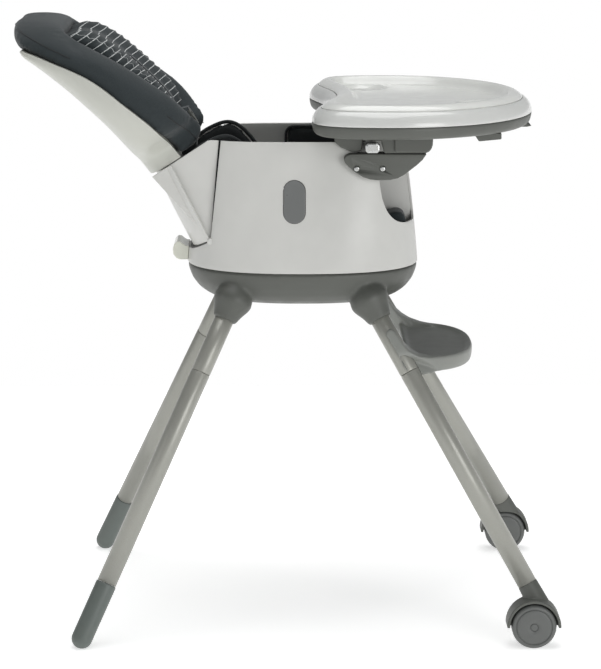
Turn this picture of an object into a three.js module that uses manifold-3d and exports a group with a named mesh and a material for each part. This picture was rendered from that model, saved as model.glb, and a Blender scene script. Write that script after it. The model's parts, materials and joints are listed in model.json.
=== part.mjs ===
// Baby high chair with a reclining back, a sliding tray and four splayed legs. Millimetres, +Z up,
// the child faces +X, the floor is z = 0 and the origin is under the middle of the whole chair.
import * as THREE from "three";
import { mergeVertices } from "three/addons/utils/BufferGeometryUtils.js";
import Module from "manifold-3d";

const wasm = await Module();
wasm.setup();

// ---------------------------------------------------------------- driving dimensions
const GAP = 0.4; // between pieces that rest on each other
const FIT = 0.5; // between a round piece and its hole
const WALL = 3.5; // moulded seat shell
const SEAM_Z = 530; // where the seat shell sits on the hub
const RIM_Z = 721; // top of the seat's side walls
const SEAT_HALF_LENGTH = 174; // at the seam
const SEAT_HALF_WIDTH = 160; // at the seam
const FLOOR_Z = 568; // underside of the seat's floor
const FLOOR_THICKNESS = 3;
const WALL_TOP_Y = 0.73125 * SEAT_HALF_WIDTH; // the wall's outside near the pivots, where the plan closes in

const TUBE_RADIUS = 14.3; // leg tube, outside
const TUBE_WALL = 1.5;
const SOCKET_Z = 503; // height at which the leg axes are set out
const SOCKET_Y = SEAT_HALF_WIDTH - 38;
const REAR_SOCKET_X = 78 - SEAT_HALF_LENGTH;
const FRONT_SOCKET_X = SEAT_HALF_LENGTH - 86;
const REAR_RUN = 0.464; // how far a leg runs back per mm of drop
const FRONT_RUN = 0.575;
const SIDE_RUN = 0.326;
const SOCKET_END_Z = 458;
const TUBE_TOP_Z = 498;
const LEG_JOINT_Z = 384; // where the lower leg plugs into the upper
const SPIGOT_LENGTH = 38;
const FOOT_TOP_Z = 90;
const FOOT_RADIUS = 15.2;
const FOOT_FLAT_DEPTH = 1.2; // how much of the round end is flat on the floor
const PLUG_LENGTH = 26;

const WHEEL_RADIUS = 32.5;
const WHEEL_WIDTH = 14.5;
const WHEEL_SETBACK = 24; // wheel centre behind the leg's axis
const WEB_HALF = 3.2; // half the caster's middle web
const FENDER_GAP = 2.6;
const FENDER_WALL = 4.2;
const AXLE_RADIUS = 3;
const CASTER_TOP_Z = 2 * WHEEL_RADIUS + 23;

const PIVOT_X = 37 - SEAT_HALF_LENGTH;
const PIVOT_Z = 572;
const RECLINE = 33; // degrees between upright and fully reclined
const WING_RADIUS = 150; // from the pivot to the wing's top
const WING_THICKNESS = 2.5;
const PIN_RADIUS = 5; // boss on each wing that turns in the seat wall
const EAR_RADIUS = 10; // round ear of the seat wall about the pivot
const BACK_WALL = 3;
const BACK_SPLIT_H = 127; // above the pivot: where the upper back meets the lower
const BACK_TOP_H = 386;
const PAD_TOP_H = 424;

const TRAY_BOTTOM_Z = 737;
const TRAY_SEAM_Z = 755;
const TRAY_FRONT_X = 344;
const TRAY_MID_X = 130; // where the tray is widest
const TRAY_HALF_WIDTH = 255;
const TRAY_REAR_X = 16;
const TRAY_NOTCH_X = 37; // rear edge at the child's belly

const ARM_TOP_Z = 706; // top of the armrest bracket, which the latch slides on
const ARM_OUT_Y = SEAT_HALF_WIDTH - 10;
const SCREW_Z = 684;
const SCREW_XS = [78, 116];
const SCREW_HEAD_RADIUS = 4.2;

const BUTTON_X = -13;
const BUTTON_Z = 635;
const BUTTON_HALF_WIDTH = 16;
const BUTTON_HALF_HEIGHT = 31.5;
const BUTTON_PROUD = 1.5;

const FOOTREST_TOP_Z = 404;
const FOOTREST_BOTTOM_Z = 382;
const FOOTREST_BACK_X = FRONT_SOCKET_X + FRONT_RUN * (SOCKET_Z - FOOTREST_TOP_Z) + 5;
const FOOTREST_FRONT_X = FOOTREST_BACK_X + 108;
const FOOTREST_HALF_WIDTH = SOCKET_Y + 30;
const CLIP_TOP_Z = 440;
const CLIP_WALL = 3.6;

// ---------------------------------------------------------------- materials
const plastic = (color, roughness = 0.4) =>
  new THREE.MeshStandardMaterial({ color, roughness, metalness: 0 });
const materials = {
  shell: plastic(0xd3d3ce),
  hub: plastic(0x6b6d68, 0.5),
  ivory: plastic(0xe6e7dc, 0.3),
  tray: plastic(0xd9dad6, 0.3),
  insert: plastic(0xdfe1df, 0.15),
  button: plastic(0x7d7f7d, 0.35),
  fabric: plastic(0x3a4043, 0.9),
  pattern: plastic(0x33383a, 0.9),
  webbing: plastic(0x2a2d2f, 0.85),
  tyre: plastic(0x686d68, 0.6),
  tube: new THREE.MeshStandardMaterial({ color: 0xb4b5af, roughness: 0.35, metalness: 0.6 }),
  steel: new THREE.MeshStandardMaterial({ color: 0xc9cacb, roughness: 0.25, metalness: 1 }),
};

// ---------------------------------------------------------------- solids and booleans
// A closed geometry as a manifold-3d solid.
function toSolid(geometry) {
  const bare = geometry.index ? geometry.toNonIndexed() : geometry.clone();
  const points = new THREE.BufferGeometry();
  points.setAttribute("position", bare.getAttribute("position"));
  const merged = mergeVertices(points, 1e-3);
  const mesh = new wasm.Mesh({
    numProp: 3,
    vertProperties: merged.attributes.position.array,
    triVerts: new Uint32Array(merged.index.array),
  });
  return new wasm.Manifold(mesh);
}

// A manifold-3d solid back as a geometry.
function toGeometry(solid) {
  const mesh = solid.getMesh();
  const geometry = new THREE.BufferGeometry();
  geometry.setAttribute("position", new THREE.BufferAttribute(mesh.vertProperties, 3));
  geometry.setIndex(new THREE.BufferAttribute(mesh.triVerts, 1));
  return geometry;
}

const union = (...solids) => solids.reduce((whole, next) => whole.add(next));
const cut = (solid, ...tools) => tools.reduce((rest, tool) => rest.subtract(tool), solid);

function box(x0, x1, y0, y1, z0, z1) {
  const geometry = new THREE.BoxGeometry(x1 - x0, y1 - y0, z1 - z0);
  geometry.translate((x0 + x1) / 2, (y0 + y1) / 2, (z0 + z1) / 2);
  return toSolid(geometry);
}

// An outline in the XZ plane, extruded along Y from y0 to y1.
function prism(shape, y0, y1, curveSegments = 6) {
  const options = { depth: y1 - y0, bevelEnabled: false, curveSegments };
  const geometry = new THREE.ExtrudeGeometry(shape, options);
  geometry.rotateX(Math.PI / 2);
  geometry.translate(0, y1, 0);
  return toSolid(geometry);
}

const outline = (points) => new THREE.Shape(points.map(([x, z]) => new THREE.Vector2(x, z)));

// A body through rings of the same number of points, listed in order, with flat ends.
function loft(rings) {
  const count = rings[0].length;
  const position = rings.flat().flatMap((p) => [p.x, p.y, p.z]);
  const index = [];
  for (let i = 0; i < rings.length - 1; i++)
    for (let j = 0; j < count; j++) {
      const a = i * count + j;
      const b = i * count + ((j + 1) % count);
      index.push(a, b, b + count, a, b + count, a + count);
    }
  const flat = (ring) => {
    const normal = new THREE.Vector3();
    ring.forEach((p, j) => normal.add(p.clone().cross(ring[(j + 1) % count])));
    const along = Math.abs(normal.z) >= Math.abs(normal.y) ? ["x", "y"] : ["z", "x"];
    return ring.map((p) => new THREE.Vector2(p[along[0]], p[along[1]]));
  };
  for (const [start, turned] of [[0, false], [(rings.length - 1) * count, true]]) {
    const ring = flat(rings[start / count]);
    const backwards = THREE.ShapeUtils.area(ring) < 0;
    for (const [a, b, c] of THREE.ShapeUtils.triangulateShape(ring, [])) {
      const face = backwards ? [a, b, c] : [c, b, a];
      index.push(...(turned ? face.reverse() : face).map((k) => k + start));
    }
  }
  const geometry = new THREE.BufferGeometry();
  geometry.setAttribute("position", new THREE.Float32BufferAttribute(position, 3));
  geometry.setIndex(index);
  const solid = toSolid(geometry);
  return solid.volume() < 0 ? toSolid(geometry.setIndex(index.reverse())) : solid;
}

// A round body about an axis from one point to another; the profile holds [radius, distance].
const ROUND = 16; // sides of every round fit

function turned(from, to, profile, segments = ROUND) {
  const points = profile.map(([r, h]) => new THREE.Vector2(r, h));
  const geometry = new THREE.LatheGeometry(points, segments);
  const direction = to.clone().sub(from).normalize();
  const turn = new THREE.Quaternion().setFromUnitVectors(new THREE.Vector3(0, 1, 0), direction);
  geometry.applyQuaternion(turn);
  geometry.translate(from.x, from.y, from.z);
  const solid = toSolid(geometry);
  if (solid.volume() > 0) return solid;
  return turned(from, to, profile.slice().reverse(), segments);
}

const rod = (from, to, radius, segments = ROUND) => {
  const length = from.distanceTo(to);
  return turned(from, to, [[0, 0], [radius, 0], [radius, length], [0, length]], segments);
};

// Straight-line interpolation through [position, value] pairs.
function along(pairs, at) {
  const next = pairs.findIndex(([p]) => p >= at);
  if (next === 0) return pairs[0][1];
  if (next < 0) return pairs[pairs.length - 1][1];
  const [[p0, v0], [p1, v1]] = [pairs[next - 1], pairs[next]];
  return v0 + ((v1 - v0) * (at - p0)) / (p1 - p0);
}

const mesh = (name, solid, material) => {
  const made = new THREE.Mesh(solid.isBufferGeometry ? solid : toGeometry(solid), material);
  made.name = name;
  return made;
};

const SIDES = [["right", -1], ["left", 1]];
const chair = new THREE.Group();
const add = (name, solid, material, parent = chair) => parent.add(mesh(name, solid, material));

// ---------------------------------------------------------------- the seat's oval form
const OVAL_POINTS = 32;
const STEPS_Z = [SEAM_Z, 590, 650, RIM_Z];

// Half length, half width and squareness of the seat at a height.
function ovalAt(z) {
  const t = (z - SEAM_Z) / (RIM_Z - SEAM_Z);
  const bulge = 0.09 * t + 0.04 * t * t;
  return {
    halfLength: SEAT_HALF_LENGTH * (1 - bulge),
    halfWidth: SEAT_HALF_WIDTH * (1 - 0.11 * t - 0.077 * t * t),
    power: 2.5 + 1.1 * t,
  };
}

function ovalRing(halfLength, halfWidth, power, z, count = OVAL_POINTS) {
  return Array.from({ length: count }, (_, i) => {
    const angle = (2 * Math.PI * i) / count;
    const [c, s] = [Math.cos(angle), Math.sin(angle)];
    const x = Math.sign(c) * halfLength * Math.abs(c) ** (2 / power);
    const y = Math.sign(s) * halfWidth * Math.abs(s) ** (2 / power);
    return new THREE.Vector3(x, y, z);
  });
}

// The seat's outer form between two heights, grown or shrunk by an offset.
function seatForm(z0, z1, offset = 0) {
  const between = STEPS_Z.filter((z) => z > z0 + 1 && z < z1 - 1);
  return loft([z0, ...between, z1].map((z) => {
    const { halfLength, halfWidth, power } = ovalAt(z);
    return ovalRing(halfLength + offset, halfWidth + offset, power, z);
  }));
}

// Where the seat's wall stands at a place, on the outside.
function wallY(x, z) {
  const { halfLength, halfWidth, power } = ovalAt(z);
  return halfWidth * Math.max(0, 1 - Math.abs(x / halfLength) ** power) ** (1 / power);
}

// ---------------------------------------------------------------- legs
const legAt = (front, side, z) => {
  const drop = SOCKET_Z - z;
  const x = front ? FRONT_SOCKET_X + FRONT_RUN * drop : REAR_SOCKET_X - REAR_RUN * drop;
  return new THREE.Vector3(x, side * (SOCKET_Y + SIDE_RUN * drop), z);
};

const tubeBore = TUBE_RADIUS - TUBE_WALL;

// One leg: an upper tube in the hub and a lower tube whose spigot plugs into it.
function addLeg(front, sideName, side) {
  const end = front ? "front" : "rear";
  const [top, joint] = [legAt(front, side, TUBE_TOP_Z), legAt(front, side, LEG_JOINT_Z)];
  const upper = top.distanceTo(joint);
  const ring = [[tubeBore, 0], [TUBE_RADIUS, 0], [TUBE_RADIUS, upper], [tubeBore, upper], [tubeBore, 0]];
  add(`upper_leg_${end}_${sideName}`, turned(joint, top, ring), materials.tube);

  const bottom = legAt(front, side, front ? CASTER_TOP_Z : FOOT_TOP_Z);
  const lower = bottom.distanceTo(joint) - GAP;
  const neck = tubeBore - FIT;
  const core = neck - TUBE_WALL;
  const stepped = [
    [core, 0],
    [TUBE_RADIUS, 0],
    [TUBE_RADIUS, lower],
    [neck, lower],
    [neck, lower + SPIGOT_LENGTH],
    [core, lower + SPIGOT_LENGTH],
    [core, 0],
  ];
  add(`lower_leg_${end}_${sideName}`, turned(bottom, joint, stepped), materials.tube);
}

const lowerBore = tubeBore - FIT - TUBE_WALL; // inside the lower tube

// A solid foot with a round end, flat where it stands, and a plug up the tube.
function addRearFoot(sideName, side) {
  const tubeEnd = legAt(false, side, FOOT_TOP_Z);
  const centreZ = FOOT_RADIUS - FOOT_FLAT_DEPTH;
  const ballCentre = legAt(false, side, centreZ);
  const length = ballCentre.distanceTo(tubeEnd) - GAP;
  const round = [0.25, 0.5, 0.75].map((k) => {
    const angle = (k * Math.PI) / 2;
    return [FOOT_RADIUS * Math.sin(angle), -FOOT_RADIUS * Math.cos(angle)];
  });
  const profile = [
    [0, -FOOT_RADIUS],
    ...round,
    [FOOT_RADIUS, 0],
    [FOOT_RADIUS, length],
    [lowerBore - FIT, length],
    [lowerBore - FIT, length + PLUG_LENGTH],
    [0, length + PLUG_LENGTH],
  ];
  const reach = 2 * FOOT_RADIUS;
  const { x, y } = ballCentre;
  const floor = box(x - reach, x + reach, y - reach, y + reach, -reach, 0);
  add(`rear_foot_${sideName}`, cut(turned(ballCentre, tubeEnd, profile), floor), materials.tyre);
}

// ---------------------------------------------------------------- casters
const fenderInner = WHEEL_RADIUS + FENDER_GAP;
const fenderOuter = fenderInner + FENDER_WALL;
const wheelFaceIn = WEB_HALF + 0.8;
const casterHalfWidth = wheelFaceIn + WHEEL_WIDTH;
const wheelCentre = (side) => {
  const onAxis = legAt(true, side, WHEEL_RADIUS);
  return new THREE.Vector3(onAxis.x - WHEEL_SETBACK, onAxis.y, WHEEL_RADIUS);
};

function addCaster(sideName, side) {
  const { x, y, z } = wheelCentre(side);
  const at = (offset) => new THREE.Vector3(x, y + offset, z);
  const drum = rod(at(-casterHalfWidth), at(casterHalfWidth), fenderOuter, 28);
  const below = box(x - 60, x + 60, y - 60, y + 60, -40, z + 1);
  const tubeEnd = legAt(true, side, CASTER_TOP_Z);
  const into = legAt(true, side, CASTER_TOP_Z - 36);
  const neckLength = into.distanceTo(tubeEnd) - GAP;
  const neck = turned(into, tubeEnd, [
    [0, 0],
    [TUBE_RADIUS, 0],
    [TUBE_RADIUS, neckLength],
    [lowerBore - FIT, neckLength],
    [lowerBore - FIT, neckLength + PLUG_LENGTH],
    [0, neckLength + PLUG_LENGTH],
  ]);
  const boss = rod(at(-WEB_HALF), at(WEB_HALF), AXLE_RADIUS + 7);
  const web = rod(at(-WEB_HALF), at(WEB_HALF), fenderInner + 1, 28);
  const pocket = (from, to) => rod(at(from), at(to), fenderInner, 28);
  const hood = union(cut(drum, below), cut(neck, below));
  const open = cut(hood, pocket(-60, -WEB_HALF), pocket(WEB_HALF, 60));
  const body = union(open, cut(web, below), boss);
  const bore = rod(at(-20), at(20), AXLE_RADIUS + FIT);
  add(`caster_housing_${sideName}`, cut(body, bore), materials.hub);

  const tread = WHEEL_RADIUS;
  const boreRadius = AXLE_RADIUS + FIT;
  for (const [label, out] of [["outer", side], ["inner", -side]]) {
    const from = at(out * wheelFaceIn);
    const to = at(out * (wheelFaceIn + WHEEL_WIDTH));
    const profile = [
      [boreRadius, 0],
      [tread - 1.5, 0],
      [tread, 1.5],
      [tread, WHEEL_WIDTH - 2.5],
      [tread - 2.5, WHEEL_WIDTH],
      [tread - 5, WHEEL_WIDTH],
      [tread - 6, WHEEL_WIDTH - 1],
      [boreRadius, WHEEL_WIDTH - 1],
      [boreRadius, 0],
    ];
    add(`caster_wheel_${sideName}_${label}`, turned(from, to, profile, 28), materials.tyre);
  }
  const reach = casterHalfWidth - 2;
  add(`caster_axle_${sideName}`, rod(at(-reach), at(reach), AXLE_RADIUS), materials.steel);
}

// ---------------------------------------------------------------- hub
function addHub() {
  const profile = [
    [100, 475],
    [134, 479],
    [154, 491],
    [169, 512],
    [SEAT_HALF_LENGTH, SEAM_Z],
  ];
  const narrower = SEAT_HALF_LENGTH - SEAT_HALF_WIDTH;
  const bowl = (shrink, lift) => loft(profile.map(([halfLength, z]) =>
    ovalRing(halfLength - shrink, halfLength - narrower - shrink, 2.5, z + lift)));
  const body = cut(bowl(0, 0), bowl(WALL, WALL));
  const parts = [];
  const bores = [];
  for (const front of [false, true])
    for (const [, side] of SIDES) {
      const end = legAt(front, side, SOCKET_END_Z);
      const top = legAt(front, side, 522);
      const length = end.distanceTo(top);
      parts.push(turned(end, top, [
        [0, 0],
        [18.3, 0],
        [20, length * 0.2],
        [25, length * 0.38],
        [29, length * 0.55],
        [23, length * 0.78],
        [14, length],
        [0, length],
      ]));
      bores.push(rod(legAt(front, side, SOCKET_END_Z - 10), legAt(front, side, TUBE_TOP_Z + 1), TUBE_RADIUS + FIT));
    }
  add("hub", cut(union(body, ...parts), ...bores), materials.hub);
}

// ---------------------------------------------------------------- seat shell
const postHalfWidth = 30;
const legHoleLow = 597;
const POST_TOP_Z = 716;
const POST_FOOT_Z = 606; // where the post widens above the cushion
const rearEdge = [[PIVOT_X, PIVOT_Z], [PIVOT_X + 16, RIM_Z]];
const openingX = SEAT_HALF_LENGTH - 70; // rear edge of a leg opening, at the rim
const reclineRadians = THREE.MathUtils.degToRad(RECLINE);

function addSeatShell() {
  const outer = seatForm(SEAM_Z + GAP, RIM_Z);
  const above = seatForm(FLOOR_Z + FLOOR_THICKNESS, RIM_Z + 4, -WALL);
  const below = seatForm(SEAM_Z - 4, FLOOR_Z, -WALL);
  const tub = cut(outer, above, below);
  const drop = 60 * Math.tan(reclineRadians);
  const [[px, pz], [rx, rz]] = rearEdge;
  const rear = outline([[px, pz], [rx, rz], [rx, 760], [-240, 760], [-240, pz - drop], [px - 60, pz - drop]]);
  const hole = new THREE.Shape();
  hole.moveTo(openingX, 760);
  hole.lineTo(openingX + 8, 667);
  hole.quadraticCurveTo(openingX + 14, 598, openingX + 52, legHoleLow);
  hole.lineTo(openingX + 96, legHoleLow);
  hole.lineTo(openingX + 96, 760);
  const post = new THREE.Shape();
  const postFront = (z) => ovalAt(z).halfLength - 1;
  const postLow = legHoleLow - 25;
  const postRear = openingX - 4;
  post.moveTo(openingX + 16, postLow);
  post.lineTo(postFront(postLow), postLow);
  post.lineTo(postFront(650), 650);
  post.lineTo(postFront(POST_TOP_Z), POST_TOP_Z);
  post.lineTo(postRear, POST_TOP_Z);
  post.lineTo(postRear, POST_FOOT_Z + 8);
  post.lineTo(openingX + 16, POST_FOOT_Z);
  const column = prism(post, -postHalfWidth, postHalfWidth);
  const hollow = box(openingX + 20, openingX + 44, -postHalfWidth + 3, postHalfWidth - 3, 540, POST_TOP_Z - 4);
  const openings = SIDES.map(([, side]) =>
    (side < 0 ? prism(hole, -200, -postHalfWidth) : prism(hole, postHalfWidth, 200)));
  const roof = box(openingX - 4, openingX + 96, -60, 60, POST_TOP_Z, 760);
  let shell = cut(tub, prism(rear, -200, 200), ...openings, roof);
  shell = cut(union(shell, column), hollow);
  for (const [, side] of SIDES) {
    const at = (y) => new THREE.Vector3(PIVOT_X, side * y, PIVOT_Z);
    const ear = rod(at(WALL_TOP_Y - 4.8), at(WALL_TOP_Y + 0.5), EAR_RADIUS);
    shell = cut(union(shell, ear), rod(at(WALL_TOP_Y - 17), at(WALL_TOP_Y + 13), PIN_RADIUS + FIT));
    shell = cut(shell, buttonBody(side, 0.7, -30, 30));
  }
  add("seat_shell", shell, materials.shell);
}

// ---------------------------------------------------------------- side buttons
const buttonFace = wallY(BUTTON_X, BUTTON_Z);
const wallLean = Math.atan2(wallY(BUTTON_X, BUTTON_Z - 30) - wallY(BUTTON_X, BUTTON_Z + 30), 60);

// The button's stadium, grown by a margin, between two depths measured out from the wall.
function buttonBody(side, margin, from, to) {
  const radius = BUTTON_HALF_WIDTH + margin;
  const straight = BUTTON_HALF_HEIGHT - BUTTON_HALF_WIDTH;
  const shape = new THREE.Shape();
  shape.absarc(0, straight, radius, 0, Math.PI);
  shape.absarc(0, -straight, radius, Math.PI, 2 * Math.PI);
  const geometry = new THREE.ExtrudeGeometry(shape, { depth: to - from, bevelEnabled: false, curveSegments: 10 });
  geometry.rotateX(Math.PI / 2);
  geometry.translate(0, -from, 0);
  if (side > 0) geometry.rotateZ(Math.PI);
  geometry.rotateX(side * wallLean);
  geometry.translate(BUTTON_X, side * buttonFace, BUTTON_Z);
  return toSolid(geometry);
}

function addButtons() {
  for (const [name, side] of SIDES)
    add(`seat_release_button_${name}`, buttonBody(side, 0, -WALL, BUTTON_PROUD), materials.button);
}

// ---------------------------------------------------------------- rear release tab
const TAB_HALF_WIDTH = 34;
function addRearTab() {
  const shape = new THREE.Shape();
  const [back, front, low, high] = [-SEAT_HALF_LENGTH - 22, 12 - SEAT_HALF_LENGTH, 531, 560];
  shape.moveTo(front, low + 1);
  shape.lineTo(front, 552);
  shape.lineTo(front - 14, 554);
  shape.quadraticCurveTo(front - 19, high, front - 24, high);
  shape.quadraticCurveTo(back, high, back, 546);
  shape.quadraticCurveTo(back, low + 1, back + 9, low);
  const tab = prism(shape, -TAB_HALF_WIDTH, TAB_HALF_WIDTH, 5);
  const swing = seatForm(SEAM_Z - 2, 620, GAP);
  add("rear_release_tab", cut(tab, swing), materials.ivory);
}

// ---------------------------------------------------------------- backrest, drawn upright about its pivot
const backrest = new THREE.Group();
backrest.position.set(PIVOT_X, 0, PIVOT_Z);
backrest.rotation.y = -reclineRadians;
chair.add(backrest);

// Each pair is [height above the pivot, distance forward of the pivot].
const backRear = [[BACK_SPLIT_H, -22], [169, -25], [223, -34], [268, -47], [316, -60], [362, -75], [BACK_TOP_H, -86]];
const padSeat = [[BACK_SPLIT_H, 32], [144, 30], [186, 26], [236, 12], [299, -11], [365, -55], [BACK_TOP_H, -70], [PAD_TOP_H, -74]];
const padRidge = [
  [BACK_SPLIT_H, 76], [147, 83], [171, 81], [213, 71], [245, 58], [286, 39], [330, 14], [371, -12], [390, -24], [PAD_TOP_H, -60],
];
const insertFront = [[150, 66], [177, 68], [211, 65], [250, 56], [287, 45], [322, 33], [343, 21], [356, 11], [367, -8]];
const backHalfWidth = [
  [BACK_SPLIT_H, WALL_TOP_Y - 13], [152, WALL_TOP_Y - 12], [170, 140], [210, 168], [290, 182], [350, 172], [BACK_TOP_H, 146], [PAD_TOP_H, 108],
];

// A half oval: straight across the front, round at the rear.
function backRing(h, front, rear, halfWidth, count = 18) {
  const ring = Array.from({ length: count + 1 }, (_, i) => {
    const angle = Math.PI * (0.5 + i / count);
    const [c, s] = [Math.cos(angle), Math.sin(angle)];
    const x = front + (front - rear) * -(Math.abs(c) ** (2 / 3.2));
    return new THREE.Vector3(i === 0 || i === count ? front : x, Math.sign(s) * halfWidth * Math.abs(s) ** (2 / 3.2), h);
  });
  return ring;
}

// How far out a wing stands at a distance from the pivot, so that it clears the wall as it turns.
const wingY = (radius) => WALL_TOP_Y - 7.5 - 0.035 * radius;

function wing(side, points, thickness, inset = 0) {
  const pivot = [0, 0];
  const place = ([x, z], layer) => {
    const y = wingY(Math.hypot(x, z)) - inset - (layer ? thickness : 0);
    return new THREE.Vector3(x, side * y, z);
  };
  const ring = [pivot, ...points];
  const inside = ring.map((p) => place(p, true));
  const outside = ring.map((p) => place(p, false));
  const geometry = new THREE.BufferGeometry();
  const count = ring.length;
  const position = [...outside, ...inside].flatMap((p) => [p.x, p.y, p.z]);
  const index = [];
  for (let j = 1; j < count - 1; j++) index.push(0, j, j + 1, count, count + j + 1, count + j);
  for (let j = 0; j < count; j++) {
    const k = (j + 1) % count;
    index.push(j, count + j, k, k, count + j, count + k);
  }
  geometry.setAttribute("position", new THREE.Float32BufferAttribute(position, 3));
  geometry.setIndex(index);
  const solid = toSolid(geometry);
  return solid.volume() > 0 ? solid : toSolid(geometry.setIndex(index.reverse()));
}

const fan = (fromDegrees, toDegrees, radius, steps) =>
  Array.from({ length: steps + 1 }, (_, i) => {
    const angle = THREE.MathUtils.degToRad(fromDegrees + ((toDegrees - fromDegrees) * i) / steps);
    return [radius(angle) * Math.sin(angle), radius(angle) * Math.cos(angle)];
  });

// A round body on the back's pivot, from one half width to another, in the backrest's frame.
const pivotRod = (side, from, to, radius) =>
  rod(new THREE.Vector3(0, side * from, 0), new THREE.Vector3(0, side * to, 0), radius);

function addLowerBack() {
  const low = PIVOT_Z + 3.5;
  const high = PIVOT_Z + BACK_SPLIT_H - 0.8;
  const band = cut(seatForm(low, high), seatForm(low - 4, high + 4, -BACK_WALL));
  const [[px, pz], [rx, rz]] = rearEdge;
  const behind = prism(outline([[px - 1, pz - 10], [rx - 1, rz], [-240, rz], [-240, pz - 10]]), -200, 200);
  const toPivot = [-PIVOT_X, 0, -PIVOT_Z];
  const within = seatForm(low - 40, 745).translate(toPivot);
  const pivots = SIDES.map(([, side]) => pivotRod(side, WALL_TOP_Y - 5.5, WALL_TOP_Y + 5, EAR_RADIUS + 1));
  const rearWall = cut(band.intersect(behind).translate(toPivot), ...pivots);
  const top = (angle) => Math.min(WING_RADIUS - 1, (BACK_SPLIT_H - 0.8) / Math.cos(angle));
  const sweep = fan(-12, 38, top, 8);
  const wings = SIDES.map(([, side]) => wing(side, sweep, WING_THICKNESS).intersect(within));
  const bosses = SIDES.map(([, side]) => pivotRod(side, WALL_TOP_Y - 10, WALL_TOP_Y + 2, PIN_RADIUS));
  const window = box(-60, 0, -32, 32, 52, 84);
  add("lower_back", cut(union(rearWall, ...wings, ...bosses), window), materials.shell, backrest);
  const paddle = box(-60, 40, -31.3, 31.3, 53, 83.2);
  const skin = cut(seatForm(low, high), seatForm(low - 4, high + 4, -BACK_WALL)).translate([-PIVOT_X, 0, -PIVOT_Z]);
  const rearOnly = box(-60, 0, -60, 60, 40, 100);
  add("recline_lever", paddle.intersect(skin).intersect(rearOnly), materials.button, backrest);
}

const heightsBetween = (low, high, steps) =>
  Array.from({ length: steps + 1 }, (_, i) => low + ((high - low) * i) / steps);

function addUpperBack() {
  const heights = [BACK_SPLIT_H + GAP, 144, 152, 170, 190, 223, 254, 290, 326, 350, BACK_TOP_H];
  const form = (shrink) => loft(heights.map((h, i) => {
    const top = i === heights.length - 1 ? shrink : 0;
    const open = i === 0 && shrink ? BACK_WALL : 0;
    const front = along(padSeat, h) + (shrink ? 8 : 0);
    const rear = along(backRear, h) + shrink;
    return backRing(h - top - open, front, rear, along(backHalfWidth, h) - shrink);
  }));
  const outer = form(0);
  const inner = form(BACK_WALL);
  add("upper_back_shell", cut(outer, inner), materials.shell, backrest);
}

// A rounded block section between two distances forward.
function padRing(h, back, front, halfWidth, corner) {
  const ring = [];
  const corners = [[front, 1], [back, 1], [back, -1], [front, -1]];
  const turns = [0, 0.5, 1, 1.5];
  corners.forEach(([x, s], k) => {
    const cx = x + (x === front ? -corner : corner);
    const cy = s * (halfWidth - corner);
    for (const step of [0, 0.5, 1]) {
      const angle = Math.PI * (turns[k] + step * 0.5);
      ring.push(new THREE.Vector3(cx + corner * Math.cos(angle), cy + corner * Math.sin(angle), h));
    }
  });
  return ring;
}

function addBackPad() {
  const heights = [BACK_SPLIT_H + GAP, 144, 152, 170, 190, 223, 254, 290, 330, 362, BACK_TOP_H, PAD_TOP_H];
  const body = loft(heights.map((h) => {
    const back = along(padSeat, h) - 1;
    const halfWidth = along(backHalfWidth, h) - BACK_WALL - 1.2;
    return padRing(h, back, along(padRidge, h), halfWidth, 6);
  }));
  const channel = loft([BACK_SPLIT_H - 6, 144, 152, 170, 190, 223, 254, 290, 330, 372].map((h) =>
    padRing(h, along(padSeat, h) + 12, 150, along(backHalfWidth, h) - 42, 4)));
  const hollow = loft([BACK_SPLIT_H - 6, 144, 170, 190, 223, 254, 290, 326, 362, BACK_TOP_H + GAP].map((h) =>
    padRing(h, along(padSeat, h) - 60, along(padSeat, h) + 1, along(backHalfWidth, h) + 20, 4)));
  add("back_pad", cut(body, channel, hollow), materials.fabric, backrest);

  const cushion = loft([STRAP_LOW + 3, 190, 223, 254, 290, 330, 352, 366].map((h) => {
    const back = along(padSeat, h) + 13;
    const front = Math.max(along(insertFront, h), back + 16);
    return padRing(h, back, front, along(backHalfWidth, h) - 52, 7);
  }));
  add("insert_cushion", cushion, materials.pattern, backrest);
}

function addWingPads() {
  const top = [[-28, 142], [-6, 155], [14, 158], [34, 150], [52, 136], [69, 121], [77, 108], [42, 40]];
  // drawn reclined, so turn it to the upright frame the group holds
  const turnedPoints = top.map(([x, z]) => {
    const [c, s] = [Math.cos(reclineRadians), Math.sin(reclineRadians)];
    return [x * c + z * s, -x * s + z * c];
  });
  for (const [name, side] of SIDES) {
    const pad = wing(side, turnedPoints, 5, WING_THICKNESS + 1.5);
    const clear = box(-40, 9, -SEAT_HALF_WIDTH, SEAT_HALF_WIDTH, -20, 200);
    const base = box(-60, 160, -SEAT_HALF_WIDTH, SEAT_HALF_WIDTH, -20, 12);
    const above = box(-60, 200, -SEAT_HALF_WIDTH, SEAT_HALF_WIDTH, BACK_SPLIT_H - 1, 200);
    add(`wing_pad_${name}`, cut(pad, clear, base, above), materials.fabric, backrest);
  }
}

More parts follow.
